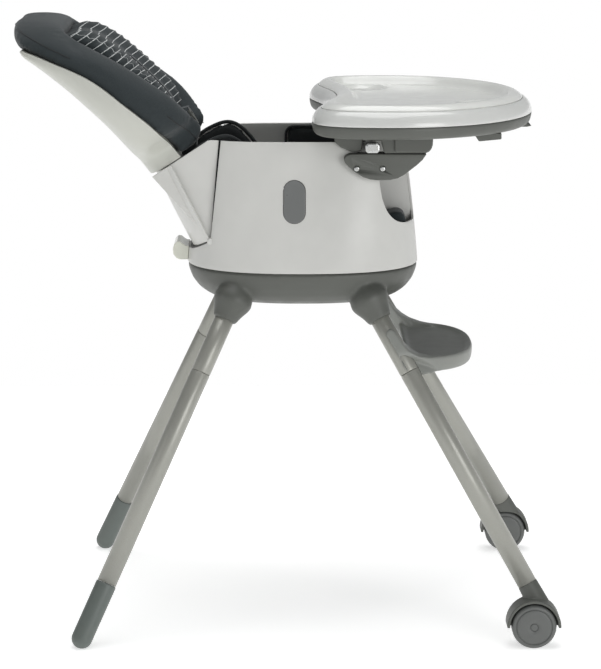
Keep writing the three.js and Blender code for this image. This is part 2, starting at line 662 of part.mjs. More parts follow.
const STRAP_THICKNESS = 1.8;
const STRAP_LOW = 168; // lower ends of the shoulder straps, above the pivot
function addShoulderStraps() {
  const heights = [STRAP_LOW, STRAP_LOW + 3, 190, 223, 254, 290];
  const lie = (h) => Math.max(along(insertFront, h), along(padSeat, h) + 29) + 0.8;
  for (const [name, side] of SIDES) {
    const strip = loft(heights.map((h) => {
      const [x, y] = [lie(h), side * 42];
      return [[x, y - 12.5], [x + STRAP_THICKNESS, y - 12.5], [x + STRAP_THICKNESS, y + 12.5], [x, y + 12.5]]
        .map(([px, py]) => new THREE.Vector3(px, py, h));
    }));
    add(`shoulder_strap_${name}`, strip, materials.webbing, backrest);
    const x = lie(STRAP_LOW) - 0.5;
    const tongue = cut(
      box(x, x + 4, side * 42 - 15, side * 42 + 15, STRAP_LOW - 24, STRAP_LOW - 0.6),
      box(x - 1, x + 5, side * 42 - 9, side * 42 + 9, STRAP_LOW - 11, STRAP_LOW - 5),
    );
    add(`strap_tongue_${name}`, tongue, materials.hub, backrest);
  }
}

// ---------------------------------------------------------------- seat padding and the fixed harness
const CUSHION_LOW = FLOOR_Z + FLOOR_THICKNESS + GAP;
const CUSHION_TOP = 599;
function addSeatPadding() {
  const body = loft([[0, CUSHION_LOW], [5, CUSHION_LOW + 8], [6, CUSHION_TOP - 8], [-4, CUSHION_TOP]].map(([grow, z]) =>
    ovalRing(SEAT_HALF_LENGTH - 66 + grow, SEAT_HALF_WIDTH - 74 + grow, 4, z, 28)));
  const lobes = SIDES.map(([, side]) => {
    const roll = new THREE.Shape();
    roll.moveTo(openingX - 14, CUSHION_LOW);
    roll.lineTo(openingX + 44, CUSHION_LOW);
    roll.quadraticCurveTo(openingX + 56, 584, openingX + 54, 604);
    roll.quadraticCurveTo(openingX + 48, 618, openingX + 34, 616);
    roll.quadraticCurveTo(openingX + 14, 610, openingX - 14, CUSHION_TOP - 2);
    const [near, far] = [postHalfWidth + 4, SEAT_HALF_WIDTH - 68];
    return side < 0 ? prism(roll, -far, -near, 4) : prism(roll, near, far, 4);
  });
  const inside = seatForm(FLOOR_Z, RIM_Z, -WALL - 1.5);
  add("seat_cushion", union(body, ...lobes).intersect(inside), materials.fabric);

  for (const [name, side] of SIDES) {
    const rings = heightsBetween(606, 716, 3).map((z) => {
      const edge = [[-26, 0], [40, 0], [98, 0], [98, 1], [40, 1], [-26, 1]];
      return edge.map(([x, layer]) => {
        const y = wallY(x, z) - WALL - 3.8 - layer * 6;
        return new THREE.Vector3(x + (z > 700 && x < 0 ? 8 : 0), side * y, z);
      });
    });
    add(`side_pad_${name}`, loft(rings), materials.webbing);
  }
}

function addSeatHarness() {
  const low = CUSHION_TOP + 0.8;
  const high = low + STRAP_THICKNESS;
  for (const [name, side] of SIDES) {
    const ends = [side * 34, side * (SEAT_HALF_WIDTH - 76)].sort((a, b) => a - b);
    add(`waist_strap_${name}`, box(-34, -9, ...ends, low, high), materials.webbing);
  }
  add("crotch_strap", box(12, 84, -12.5, 12.5, low, high), materials.webbing);
  const buckle = cut(box(-22, 22, -21, 21, high + 0.5, high + 15), box(-9, 9, -9, 9, high + 9, high + 30));
  add("harness_buckle", buckle, materials.hub);
  add("buckle_button", box(-8.3, 8.3, -8.3, 8.3, high + 12, high + 17), materials.button);
}

// ---------------------------------------------------------------- armrest brackets and tray latches
function addArmrests() {
  const shape = new THREE.Shape();
  shape.moveTo(59, 699);
  shape.quadraticCurveTo(60, ARM_TOP_Z, 74, ARM_TOP_Z);
  shape.lineTo(182, ARM_TOP_Z);
  shape.quadraticCurveTo(174, 692, 156, 682);
  shape.quadraticCurveTo(143, 670, 128, 667);
  shape.lineTo(108, 668);
  shape.quadraticCurveTo(84, 676, 59, 699);
  const clearOfSeat = seatForm(640, RIM_Z + 1, GAP);
  for (const [name, side] of SIDES) {
    const ends = [side * (ARM_OUT_Y - 46), side * ARM_OUT_Y].sort((a, b) => a - b);
    let bracket = cut(prism(shape, ...ends), clearOfSeat, box(60, 250, 38 - ARM_OUT_Y, ARM_OUT_Y - 38, 600, 760));
    const holes = SCREW_XS.map((x) => screwBody(x, side, GAP));
    bracket = cut(bracket, ...holes);
    add(`armrest_${name}`, bracket, materials.hub);
    SCREW_XS.forEach((x, i) =>
      add(`armrest_screw_${name}_${i ? "front" : "rear"}`, screwBody(x, side, 0), materials.steel));
  }
}

// A pan-head screw driven straight in from the side, or with a margin the hole for it.
function screwBody(x, side, margin) {
  const head = new THREE.Vector3(x, side * (ARM_OUT_Y + 0.8 + margin), SCREW_Z);
  const tip = new THREE.Vector3(x, side * (ARM_OUT_Y - 10 - margin), SCREW_Z);
  const length = head.distanceTo(tip);
  const depth = 3 + 2 * margin;
  const big = SCREW_HEAD_RADIUS + margin;
  const small = 2 + margin;
  return turned(head, tip, [[0, 0], [big, 0], [big, depth], [small, depth], [small, length], [0, length]], 14);
}

const tray = new THREE.Group();
chair.add(tray);
const LATCH_LOW = ARM_TOP_Z + 0.5;
const LEVER = { x0: 90, x1: 111, z0: 708, z1: 721 };

function addTrayLatches() {
  const shape = new THREE.Shape();
  const top = TRAY_BOTTOM_Z - GAP;
  shape.moveTo(86, top);
  shape.lineTo(86, LEVER.z1 + 1);
  shape.lineTo(LEVER.x1 + 2, LEVER.z1 + 1);
  shape.lineTo(LEVER.x1 + 6, LATCH_LOW);
  shape.lineTo(180, LATCH_LOW);
  shape.quadraticCurveTo(188, LATCH_LOW + 1, 189, 722);
  shape.lineTo(191, top);
  for (const [name, side] of SIDES) {
    const ends = [side * (ARM_OUT_Y - 34), side * ARM_OUT_Y].sort((a, b) => a - b);
    const slot = [side * (ARM_OUT_Y - 40), side * (ARM_OUT_Y - 12)].sort((a, b) => a - b);
    const block = cut(prism(shape, ...ends), box(70, LEVER.x1 + 1, ...slot, 700, LEVER.z1 + 6));
    add(`tray_latch_${name}`, block, materials.hub, tray);
    const reach = [side * (ARM_OUT_Y - 17), side * (ARM_OUT_Y + 7)].sort((a, b) => a - b);
    const paddle = box(LEVER.x0, LEVER.x1, ...reach, LEVER.z0, LEVER.z1);
    add(`tray_release_lever_${name}`, paddle, materials.steel, tray);
  }
}

// ---------------------------------------------------------------- tray
const TRAY_POINTS = 48;
function trayOutline() {
  const half = new THREE.CurvePath();
  const v = (x, y) => new THREE.Vector2(x, y);
  half.add(new THREE.EllipseCurve(TRAY_MID_X, 0, TRAY_FRONT_X - TRAY_MID_X, TRAY_HALF_WIDTH, 0, Math.PI / 2));
  half.add(new THREE.CubicBezierCurve(
    v(TRAY_MID_X, TRAY_HALF_WIDTH), v(70, TRAY_HALF_WIDTH), v(14, 246), v(TRAY_REAR_X - 4, 178)));
  half.add(new THREE.CubicBezierCurve(
    v(TRAY_REAR_X - 4, 178), v(TRAY_REAR_X - 6, 130), v(TRAY_NOTCH_X, 80), v(TRAY_NOTCH_X, 0)));
  const points = half.getSpacedPoints(TRAY_POINTS / 2);
  const mirrored = points.slice(1, -1).reverse().map((p) => v(p.x, -p.y));
  return [...points, ...mirrored];
}
const trayEdge = trayOutline();

// The tray's outline moved in by a distance, at a height.
function trayRing(inset, z) {
  const count = trayEdge.length;
  return trayEdge.map((p, i) => {
    const before = trayEdge[(i + count - 1) % count];
    const after = trayEdge[(i + 1) % count];
    const run = after.clone().sub(before).normalize();
    return new THREE.Vector3(p.x - run.y * inset, p.y + run.x * inset, z);
  });
}
const trayBody = (profile) => loft(profile.map(([inset, z]) => trayRing(inset, z)));

function addTray() {
  const low = TRAY_BOTTOM_Z;
  const seam = TRAY_SEAM_Z;
  add("tray_base", trayBody([
    [14, low],
    [5, low + 1.5],
    [1, low + 8],
    [0, seam],
    [3, seam],
    [4, low + 9],
    [8, low + 4.5],
    [15, low + 3],
  ]), materials.hub, tray);
  add("tray_top", trayBody([
    [46, seam + 9],
    [18, seam + 10],
    [8, seam + 9],
    [4, seam + 5],
    [3.2, seam + GAP],
    [0.2, seam + GAP],
    [0, seam + 2],
    [1.5, seam + 10],
    [6, seam + 18],
    [13.5, seam + 22],
    [15, seam + 18],
    [18, seam + 13.5],
    [46, seam + 12],
  ]), materials.tray, tray);
  add("tray_insert", trayBody([
    [46, seam + 12.6],
    [19, seam + 14.2],
    [16, seam + 18.5],
    [14.2, seam + 22.6],
    [17, seam + 26],
    [25, seam + 30.5],
    [32, seam + 31],
    [38, seam + 27],
    [42, seam + 18],
    [46, seam + 16.5],
  ]), materials.insert, tray);
  for (const [name, side] of SIDES) {
    const hook = outline([[246, low - GAP], [256, low - 12], [288, low - 9], [288, low - GAP]]);
    const ends = [side * 128, side * 158].sort((a, b) => a - b);
    add(`tray_foot_${name}`, prism(hook, ...ends), materials.hub, tray);
  }
  const nose = prism(outline([[302, low - 5], [336, low - 5], [343, low - 3], [334, low - GAP], [302, low - GAP]]), -30, 30);
  add("tray_front_grip", nose, materials.hub, tray);
}

// ---------------------------------------------------------------- footrest
function addFootrest() {
  const half = (inset) => {
    const reach = FOOTREST_FRONT_X - FOOTREST_BACK_X - inset;
    return Array.from({ length: 19 }, (_, i) => {
      const angle = Math.PI * (i / 18 - 0.5);
      const [c, s] = [Math.cos(angle), Math.sin(angle)];
      const y = Math.sign(s) * (FOOTREST_HALF_WIDTH - inset) * Math.abs(s) ** (2 / 2.4);
      const x = FOOTREST_BACK_X + inset + (reach - inset) * Math.abs(c) ** (2 / 2.4);
      return [x, y];
    });
  };
  const ring = (inset, z) => half(inset).map(([x, y]) => new THREE.Vector3(x, y, z));
  const plate = loft([
    ring(12, FOOTREST_BOTTOM_Z + 4),
    ring(4, FOOTREST_BOTTOM_Z),
    ring(1, FOOTREST_BOTTOM_Z + 6),
    ring(0, FOOTREST_TOP_Z),
    ring(5, FOOTREST_TOP_Z + 1),
    ring(11, FOOTREST_TOP_Z - 3),
  ]);
  const hollow = loft([ring(9, FOOTREST_BOTTOM_Z - 10), ring(7, FOOTREST_BOTTOM_Z + 8), ring(15, FOOTREST_TOP_Z - 7)]);
  const arms = [];
  const bores = [];
  for (const [, side] of SIDES) {
    const [low, high] = [legAt(true, side, FOOTREST_BOTTOM_Z + 4), legAt(true, side, CLIP_TOP_Z)];
    arms.push(rod(low, high, TUBE_RADIUS + FIT + CLIP_WALL));
    const shape = outline([
      [FOOTREST_BACK_X - 26, CLIP_TOP_Z - 2],
      [FOOTREST_BACK_X - 12, CLIP_TOP_Z - 4],
      [FOOTREST_BACK_X + 2, 421],
      [FOOTREST_BACK_X + 20, 408],
      [FOOTREST_BACK_X + 42, FOOTREST_TOP_Z],
      [FOOTREST_BACK_X + 42, FOOTREST_BOTTOM_Z + 4],
      [FOOTREST_BACK_X + 8, FOOTREST_BOTTOM_Z + 4],
    ]);
    const at = legAt(true, side, FOOTREST_TOP_Z).y - side * 8;
    const ends = [at - 5, at + 5].sort((a, b) => a - b);
    arms.push(prism(shape, ...ends));
    const through = [legAt(true, side, 340), legAt(true, side, 480)];
    bores.push(rod(...through, TUBE_RADIUS + FIT));
    const back = through.map((p) => p.clone().add(new THREE.Vector3(-16, 0, 0)));
    bores.push(rod(...back, TUBE_RADIUS - 2));
  }
  add("footrest", cut(union(cut(plate, hollow), ...arms), ...bores), materials.hub);
}

// ---------------------------------------------------------------- assembly
addHub();
addSeatShell();
addButtons();
addRearTab();
for (const [name, side] of SIDES) {
  addLeg(false, name, side);
  addLeg(true, name, side);
  addRearFoot(name, side);
  addCaster(name, side);
}
addFootrest();
addLowerBack();
addUpperBack();
addBackPad();
addWingPads();
addShoulderStraps();
addSeatPadding();
addSeatHarness();
addArmrests();
addTrayLatches();
addTray();

// Put the origin on the floor under the middle of the whole chair.
const bounds = new THREE.Box3().setFromObject(chair, true);
const middle = bounds.getCenter(new THREE.Vector3());
chair.position.set(-middle.x, -middle.y, -bounds.min.z);

export default chair;
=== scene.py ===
"""Baby high chair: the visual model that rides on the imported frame."""

import json
import logging
import math
from collections.abc import Callable, Sequence
from dataclasses import dataclass, field
from enum import Enum

import bmesh
import bpy
import numpy as np
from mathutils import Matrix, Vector

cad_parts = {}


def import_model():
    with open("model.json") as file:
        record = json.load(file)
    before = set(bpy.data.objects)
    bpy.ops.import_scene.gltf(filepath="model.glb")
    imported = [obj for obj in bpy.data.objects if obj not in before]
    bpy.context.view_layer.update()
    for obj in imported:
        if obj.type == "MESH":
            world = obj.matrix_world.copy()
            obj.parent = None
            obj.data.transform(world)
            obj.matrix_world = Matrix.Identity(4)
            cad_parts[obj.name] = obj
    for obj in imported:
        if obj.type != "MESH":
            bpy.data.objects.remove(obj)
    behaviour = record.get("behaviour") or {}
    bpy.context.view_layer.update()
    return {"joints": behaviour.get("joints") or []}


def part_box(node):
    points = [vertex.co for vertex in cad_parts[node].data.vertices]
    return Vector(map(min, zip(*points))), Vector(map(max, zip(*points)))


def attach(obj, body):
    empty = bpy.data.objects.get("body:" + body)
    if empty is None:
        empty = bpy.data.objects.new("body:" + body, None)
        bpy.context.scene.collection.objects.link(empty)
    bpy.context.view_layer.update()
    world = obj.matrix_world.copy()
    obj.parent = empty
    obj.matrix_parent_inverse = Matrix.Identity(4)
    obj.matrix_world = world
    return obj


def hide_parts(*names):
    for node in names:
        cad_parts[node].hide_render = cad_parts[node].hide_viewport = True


log = logging.getLogger("high_chair")

MM = 0.001
# The side wall's rear edge leans forward by LEAN_RUN in LEAN_RISE.
LEAN_RUN, LEAN_RISE = 16, 149
# The wings stand WING_Y out at the pivot and close in by WING_LEAN per millimetre from it.
WING_Y, WING_PAD_Y, WING_LEAN = 111.0, 109.5, 0.035
# The curve at a leg opening's rear corner: its start, and the place it is pulled towards.
CORNER_TOP_Z, CORNER_PULL_Z = 667, 599
STRAP_Y, STRAP_WIDTH = 42, 25.0
Point = tuple[float, float, float]
Pairs = Sequence[tuple[float, float]]
Place = Callable[..., Point]
Object = bpy.types.Object
Material = bpy.types.Material
Socket = bpy.types.NodeSocket


class Side(Enum):
    """The chair's two sides, as the child sees them."""

    RIGHT = ("right", -1)
    LEFT = ("left", 1)

    @property
    def label(self) -> str:
        """The side's word in node names."""
        return self.value[0]

    @property
    def sign(self) -> int:
        """-1 on the right and 1 on the left, along Y."""
        return self.value[1]


# ------------------------------------------------------------------ mesh helpers


def along(pairs: Pairs, at: float) -> float:
    """Smooth interpolation through a few known places.

    Args:
        pairs: (position, value), in rising order of position.
        at: the position asked for.

    Returns:
        The value there, on a curve with no corner at the places.
    """
    xs = [p for p, _ in pairs]
    ys = [v for _, v in pairs]
    if at <= xs[0]:
        return ys[0]
    if at >= xs[-1]:
        return ys[-1]
    i = max(k for k in range(len(xs) - 1) if xs[k] <= at)
    slopes = [(ys[k + 1] - ys[k]) / (xs[k + 1] - xs[k]) for k in range(len(xs) - 1)]
    start = slopes[0] if i == 0 else (slopes[i - 1] + slopes[i]) / 2
    end = slopes[-1] if i == len(slopes) - 1 else (slopes[i] + slopes[i + 1]) / 2
    span = xs[i + 1] - xs[i]
    t = (at - xs[i]) / span
    return (
        (2 * t**3 - 3 * t**2 + 1) * ys[i]
        + (t**3 - 2 * t**2 + t) * span * start
        + (3 * t**2 - 2 * t**3) * ys[i + 1]
        + (t**3 - t**2) * span * end
    )


def smoothstep(low: float, high: float, at: float) -> float:
    """0 below low, 1 above high, smooth between."""
    t = min(1.0, max(0.0, (at - low) / (high - low)))
    return t * t * (3 - 2 * t)


def steps(low: float, high: float, count: int) -> list[float]:
    """count + 1 evenly spaced values from low to high."""
    return [low + (high - low) * i / count for i in range(count + 1)]


def bent(radius: float, wave: float, power: float) -> float:
    """A sine or cosine scaled to a radius and squared off by a power, with its sign kept."""
    return math.copysign(radius * abs(wave) ** power, wave)


def smooth(obj: Object) -> Object:
    """Shades every face of a mesh smoothly."""
    obj.data.polygons.foreach_set("use_smooth", [True] * len(obj.data.polygons))
    return obj


def add_object(name: str, vertices: Sequence[Point], faces: Sequence[Sequence[int]]) -> Object:
    """Makes an object from points in metres, with its faces turned outwards.

    Args:
        name: the object's name.
        vertices: points in the row's frame, in metres.
        faces: lists of vertex numbers.

    Returns:
        The object, in the scene.
    """
    mesh = bpy.data.meshes.new(name)
    mesh.from_pydata(vertices, [], faces)
    obj = bpy.data.objects.new(name, mesh)
    bpy.context.scene.collection.objects.link(obj)
    work = bmesh.new()
    work.from_mesh(mesh)
    bmesh.ops.remove_doubles(work, verts=work.verts, dist=1e-6)
    bmesh.ops.recalc_face_normals(work, faces=work.faces)
    work.to_mesh(mesh)
    work.free()
    return smooth(obj)


def lofted(
    name: str, rings: Sequence[Sequence[Point]], closed: bool = True, caps: bool = True
) -> Object:
    """A skin through rings that have the same number of points.

    Args:
        name: the object's name.
        rings: the rings' points, in metres.
        closed: whether each ring joins its last point to its first.
        caps: whether the first and last rings are filled.

    Returns:
        The object.
    """
    count = len(rings[0])
    vertices = [p for ring in rings for p in ring]
    faces: list[list[int]] = []
    for i in range(len(rings) - 1):
        for j in range(count if closed else count - 1):
            k = (j + 1) % count
            faces.append([i * count + j, i * count + k, (i + 1) * count + k, (i + 1) * count + j])
    if caps:
        last = (len(rings) - 1) * count
        faces.append(list(range(count)))
        faces.append([last + j for j in reversed(range(count))])
    return add_object(name, vertices, faces)


def turned(name: str, start: Vector, end: Vector, profile: Pairs, segments: int = 48) -> Object:
    """A round body about the line from start to end.

    Args:
        name: the object's name.
        start: where the profile's distances are counted from, in metres.
        end: a point that gives the direction.
        profile: (radius, distance) pairs in millimetres.
        segments: how many sides the body has.

    Returns:
        The object.
    """
    direction = (end - start).normalized()
    turn = direction.to_track_quat("Z", "Y").to_matrix()
    rings = []
    for radius, distance in profile:
        r = max(radius, 0.001) * MM
        angles = [2 * math.pi * i / segments for i in range(segments)]
        local = [Vector((r * math.cos(a), r * math.sin(a), distance * MM)) for a in angles]
        rings.append([tuple(start + turn @ p) for p in local])
    return lofted(name, rings)


def prism(
    name: str, outline: Sequence[tuple[float, float]], y0: float, y1: float, place: Place
) -> Object:
    """An outline in the chair's side view, given thickness across the chair.

    Args:
        name: the object's name.
        outline: (x, z) points in millimetres.
        y0: one face, in millimetres.
        y1: the other face.
        place: turns millimetres into a point of the row's frame.

    Returns:
        The object.
    """
    return lofted(name, [[place(x, y, z) for x, z in outline] for y in (y0, y1)])


def side_prism(
    name: str, outline: Pairs, side: Side, near: float, far: float, place: Place
) -> Object:
    """A prism on one side of the chair, between two distances from its middle."""
    return prism(name, outline, *sorted((side.sign * near, side.sign * far)), place)


def box_mesh(
    name: str, x: Sequence[float], y: Sequence[float], z: Sequence[float], place: Place
) -> Object:
    """A block between two planes along each axis, in millimetres."""
    outline = [(x[0], z[0]), (x[1], z[0]), (x[1], z[1]), (x[0], z[1])]
    return prism(name, outline, y[0], y[1], place)


def rounded(obj: Object, width_mm: float, segments: int = 3, angle: float = 35.0) -> Object:
    """Rounds the sharp edges and keeps the flats flat."""
    bevel = obj.modifiers.new("edges", "BEVEL")
    bevel.width = width_mm * MM
    bevel.segments = segments
    bevel.limit_method = "ANGLE"
    bevel.angle_limit = math.radians(angle)
    bevel.use_clamp_overlap = True
    obj.modifiers.new("flats", "WEIGHTED_NORMAL").keep_sharp = True
    return obj


def applied(obj: Object) -> Object:
    """Replaces the mesh with what its modifiers make of it."""
    bpy.context.view_layer.update()
    evaluated = obj.evaluated_get(bpy.context.evaluated_depsgraph_get())
    mesh = bpy.data.meshes.new_from_object(evaluated)
    obj.modifiers.clear()
    obj.data = mesh
    return obj


def joined(name: str, parts: Sequence[Object]) -> Object:
    """One object that holds the meshes of several, which are removed."""
    whole = bmesh.new()
    for part in parts:
        applied(part)
        whole.from_mesh(part.data)
    mesh = bpy.data.meshes.new(name)
    whole.to_mesh(mesh)
    whole.free()
    for part in parts:
        bpy.data.objects.remove(part, do_unlink=True)
    obj = bpy.data.objects.new(name, mesh)
    bpy.context.scene.collection.objects.link(obj)
    return smooth(obj)


def fused(name: str, parts: Sequence[Object], voxel_mm: float, passes: int) -> Object:
    """Parts grown into one moulding, with soft fillets where they meet.

    Args:
        name: the object's name.
        parts: closed bodies that overlap; they are used up.
        voxel_mm: how fine the new surface is.
        passes: how far the corners are softened.

    Returns:
        The moulding.
    """
    obj = joined(name, parts)
    remesh = obj.modifiers.new("fuse", "REMESH")
    remesh.mode = "VOXEL"
    remesh.voxel_size = voxel_mm * MM
    soften = obj.modifiers.new("fillets", "SMOOTH")
    soften.factor = 0.5
    soften.iterations = passes
    return smooth(applied(obj))


def carved(obj: Object, *cutters: Object) -> Object:
    """Cuts closed bodies out of an object; the cutters are used up."""
    for cutter in cutters:
        cut = obj.modifiers.new("cut", "BOOLEAN")
        cut.operation = "DIFFERENCE"
        cut.solver = "EXACT"
        cut.object = cutter
        applied(obj)
        bpy.data.objects.remove(cutter, do_unlink=True)
    return smooth(obj)


# ------------------------------------------------------------------ materials


def linear(code: str) -> tuple[float, float, float, float]:
    """A hex sRGB colour as linear light with full alpha."""
    parts = [int(code[i : i + 2], 16) / 255 for i in (1, 3, 5)]
    return (*[c / 12.92 if c <= 0.04045 else ((c + 0.055) / 1.055) ** 2.4 for c in parts], 1.0)


def tinted(colour: Sequence[float], gain: float, lift: float = 0.0) -> tuple[float, ...]:
    """A linear colour made brighter or darker, with full alpha."""
    return (*[min(1.0, c * gain + lift) for c in colour[:3]], 1.0)


def feed(material: Material, made: bpy.types.Node, links: dict) -> None:
    """Gives a node's inputs their values.

    Args:
        material: the material whose tree holds the node.
        made: the node.
        links: input name or number to the output socket or plain value it takes.
    """
    for name, value in links.items():
        if isinstance(value, Socket):
            material.node_tree.links.new(value, made.inputs[name])
        else:
            made.inputs[name].default_value = value


def node(material: Material, kind: str, links: dict | None = None, **settings) -> bpy.types.Node:
    """Adds one shader node.

    Args:
        material: the material whose tree it joins.
        kind: the node's Blender type.
        links: input name or number to the output socket or plain value it takes.
        **settings: the node's own properties.

    Returns:
        The node.
    """
    made = material.node_tree.nodes.new(kind)
    for name, value in settings.items():
        setattr(made, name, value)
    feed(material, made, links or {})
    return made


def start_material(name: str) -> tuple[Material, bpy.types.Node, Socket]:
    """An empty material with its shader and a coordinate in metres.

    Returns:
        The material, its Principled shader and the coordinate's socket.
    """
    material = bpy.data.materials.new(name)
    material.use_nodes = True
    material.node_tree.nodes.clear()
    shader = node(material, "ShaderNodeBsdfPrincipled")
    node(material, "ShaderNodeOutputMaterial", {"Surface": shader.outputs[0]})
    place = node(material, "ShaderNodeTexCoord").outputs["Object"]
    return material, shader, place


def noise(material: Material, place: Socket, size_mm: float, detail: float = 3.0) -> Socket:
    """Cloudy noise whose patches are size_mm across, from 0 to 1."""
    links = {"Vector": place, "Scale": 1 / (size_mm * MM), "Detail": detail, "Roughness": 0.55}
    return node(material, "ShaderNodeTexNoise", links).outputs["Fac"]


def spread(material: Material, value: Socket, low: float, high: float) -> Socket:
    """Noise stretched over the range from low to high."""
    links = {"Value": value, "From Min": 0.3, "From Max": 0.7, "To Min": low, "To Max": high}
    return node(material, "ShaderNodeMapRange", links).outputs[0]


def maths(material: Material, operation: str, *values) -> Socket:
    """One arithmetic step on sockets or plain numbers."""
    return node(material, "ShaderNodeMath", dict(enumerate(values)), operation=operation).outputs[0]


def mixed(material: Material, amount, first, second) -> Socket:
    """A colour between two, by an amount from 0 to 1."""
    links = {0: amount, 6: first, 7: second}
    return node(material, "ShaderNodeMix", links, data_type="RGBA").outputs[2]


def bump(
    material: Material, height: Socket, depth_mm: float, below: Socket | None = None
) -> Socket:
    """Relief depth_mm deep from a height of 0 to 1, on top of another relief if one is given."""
    links = {"Height": height, "Strength": 1.0, "Distance": depth_mm * MM}
    if below is not None:
        links["Normal"] = below
    return node(material, "ShaderNodeBump", links).outputs[0]


@dataclass(frozen=True)
class MouldedPlastic:
    """ABS or polypropylene from a steel mould.

    The grain of the mould breaks up the reflection, a slow ripple bends it, and the colour drifts a
    little where the melt flowed, which keeps a broad panel from looking painted.
    """

    name: str
    colour: str
    roughness: float
    grain_mm: float = 0.9
    grain_depth_mm: float = 0.02
    ripple_mm: float = 0.12
    coat: float = 0.0
    ior: float = 1.5

    def make(self) -> Material:
        """Builds the material."""
        material, shader, place = start_material(self.name)
        drift = spread(material, noise(material, place, 70.0), 0.0, 1.0)
        base = linear(self.colour)
        shade = mixed(material, drift, tinted(base, 0.94), base)
        fine = noise(material, place, self.grain_mm, 2.0)
        shader.inputs["Roughness"].default_value = self.roughness
        rough = spread(
            material, noise(material, place, 22.0), self.roughness * 0.9, self.roughness * 1.12
        )
        ripple = bump(material, noise(material, place, 38.0, 1.0), self.ripple_mm)
        relief = bump(material, fine, self.grain_depth_mm, ripple)
        feed(material, shader, {"Base Color": shade, "Roughness": rough, "Normal": relief})
        feed(material, shader, {"IOR": self.ior, "Coat Weight": self.coat, "Coat Roughness": 0.08})
        return material


@dataclass(frozen=True)
class SilverPaint:
    """Steel tube with a silver powder coat, baked.

    Mica flakes make it sparkle faintly, and the coat gives a soft streak of light along the tube.
    """

    name: str = "silver powder-coated steel tube"
    colour: str = "#96968f"
    flake_mm: float = 0.6

    def make(self) -> Material:
        """Builds the material."""
        material, shader, place = start_material(self.name)
        flakes = spread(material, noise(material, place, self.flake_mm, 2.0), 0.0, 1.0)
        base = linear(self.colour)
        shade = mixed(material, flakes, base, tinted(base, 1.18))
        rough = spread(material, noise(material, place, 16.0), 0.34, 0.42)
        relief = bump(material, noise(material, place, 2.2, 2.0), 0.03)
        feed(material, shader, {"Base Color": shade, "Roughness": rough, "Normal": relief})
        feed(material, shader, {"Metallic": 0.35, "Coat Weight": 0.25, "Coat Roughness": 0.2})
        return material


@dataclass(frozen=True)
class ZincPlate:
    """Zinc-plated steel, barrel-plated and rubbed.

    Bright with faint cloudy passivation and small scuffs that dull it in spots.
    """

    name: str = "bright zinc-plated steel"
    colour: str = "#c6c8c8"

    def make(self) -> Material:
        """Builds the material."""
        material, shader, place = start_material(self.name)
        cloud = spread(material, noise(material, place, 6.0), 0.0, 1.0)
        base = linear(self.colour)
        warm = (base[0] * 0.9, base[1] * 0.88, base[2] * 0.84, 1.0)
        shade = mixed(material, cloud, warm, base)
        rough = spread(material, noise(material, place, 1.6), 0.16, 0.36)
        relief = bump(material, noise(material, place, 0.8, 2.0), 0.01)
        feed(material, shader, {"Base Color": shade, "Roughness": rough, "Normal": relief})
        feed(material, shader, {"Metallic": 1.0})
        return material


@dataclass(frozen=True)
class WovenCloth:
    """Polyester upholstery cloth, woven from melange yarn.

    The weave catches light on its crowns, the mixed yarn makes the charcoal uneven up close, and a
    weak sheen greys the fabric where it turns away. The real threads are about 0.5 mm apart; they
    are drawn 1.6 mm apart so that they show at all.
    """

    name: str
    colour: str
    thread_mm: float = 1.6
    lines_mm: float = 0.0
    line_colour: str = "#d6d9d8"
    tilt_deg: float = 0.0
    sheen: float = 0.35
    roughness: float = 0.88

    def make(self) -> Material:
        """Builds the material."""
        material, shader, place = start_material(self.name)
        turned_place = node(
            material,
            "ShaderNodeMapping",
            {"Vector": place, "Rotation": (0.0, math.radians(self.tilt_deg), 0.0)},
        ).outputs[0]
        axes = node(material, "ShaderNodeSeparateXYZ", {"Vector": turned_place}).outputs
        weave = self.weave(material, axes)
        base = linear(self.colour)
        yarn = spread(material, noise(material, place, 1.1, 2.0), 0.0, 0.55)
        shade = mixed(material, yarn, base, tinted(base, 1.9, 0.004))
        height = weave
        if self.lines_mm:
            line = self.lines(material, axes, place)
            shade = mixed(material, line, shade, linear(self.line_colour))
            height = maths(material, "SUBTRACT", weave, maths(material, "MULTIPLY", line, 1.5))
        creases = bump(material, noise(material, place, 34.0, 3.0), 1.1)
        relief = bump(material, height, 0.22, creases)
        rough = spread(material, yarn, self.roughness - 0.06, self.roughness + 0.05)
        feed(material, shader, {"Base Color": shade, "Roughness": rough, "Normal": relief})
        feed(material, shader, {"Sheen Weight": self.sheen, "Sheen Roughness": 0.45})
        feed(material, shader, {"Specular IOR Level": 0.3})
        return material

    def weave(self, material: Material, axes) -> Socket:
        """Crossing threads as a height from 0 to 1."""
        pace = 2 * math.pi / (self.thread_mm * MM)
        across = maths(material, "SINE", maths(material, "MULTIPLY", axes[1], pace))
        up = maths(material, "SINE", maths(material, "MULTIPLY", axes[2], pace))
        along_x = maths(material, "SINE", maths(material, "MULTIPLY", axes[0], pace))
        crossing = maths(material, "MULTIPLY", maths(material, "ADD", across, along_x), up)
        return maths(material, "MULTIPLY_ADD", crossing, 0.25, 0.5)

    def lines(self, material: Material, axes, place: Socket) -> Socket:
        """Thin pale lines across the cloth, a little wavy, with wider-set lines along it."""
        wander = maths(material, "MULTIPLY", noise(material, place, 40.0, 1.0), 0.3)
        found = None
        for axis, spacing, width in (
            (axes[2], self.lines_mm, 0.1), (axes[1], self.lines_mm * 9.0, 0.008)
        ):
            turns = maths(material, "MULTIPLY_ADD", axis, 1 / (spacing * MM), wander)
            place_in = maths(material, "FRACT", turns)
            line = maths(material, "LESS_THAN", place_in, width)
            found = line if found is None else maths(material, "MAXIMUM", found, line)
        broken = maths(material, "GREATER_THAN", noise(material, place, 1.4, 1.0), 0.36)
        return maths(material, "MULTIPLY", maths(material, "MULTIPLY", found, broken), 0.85)


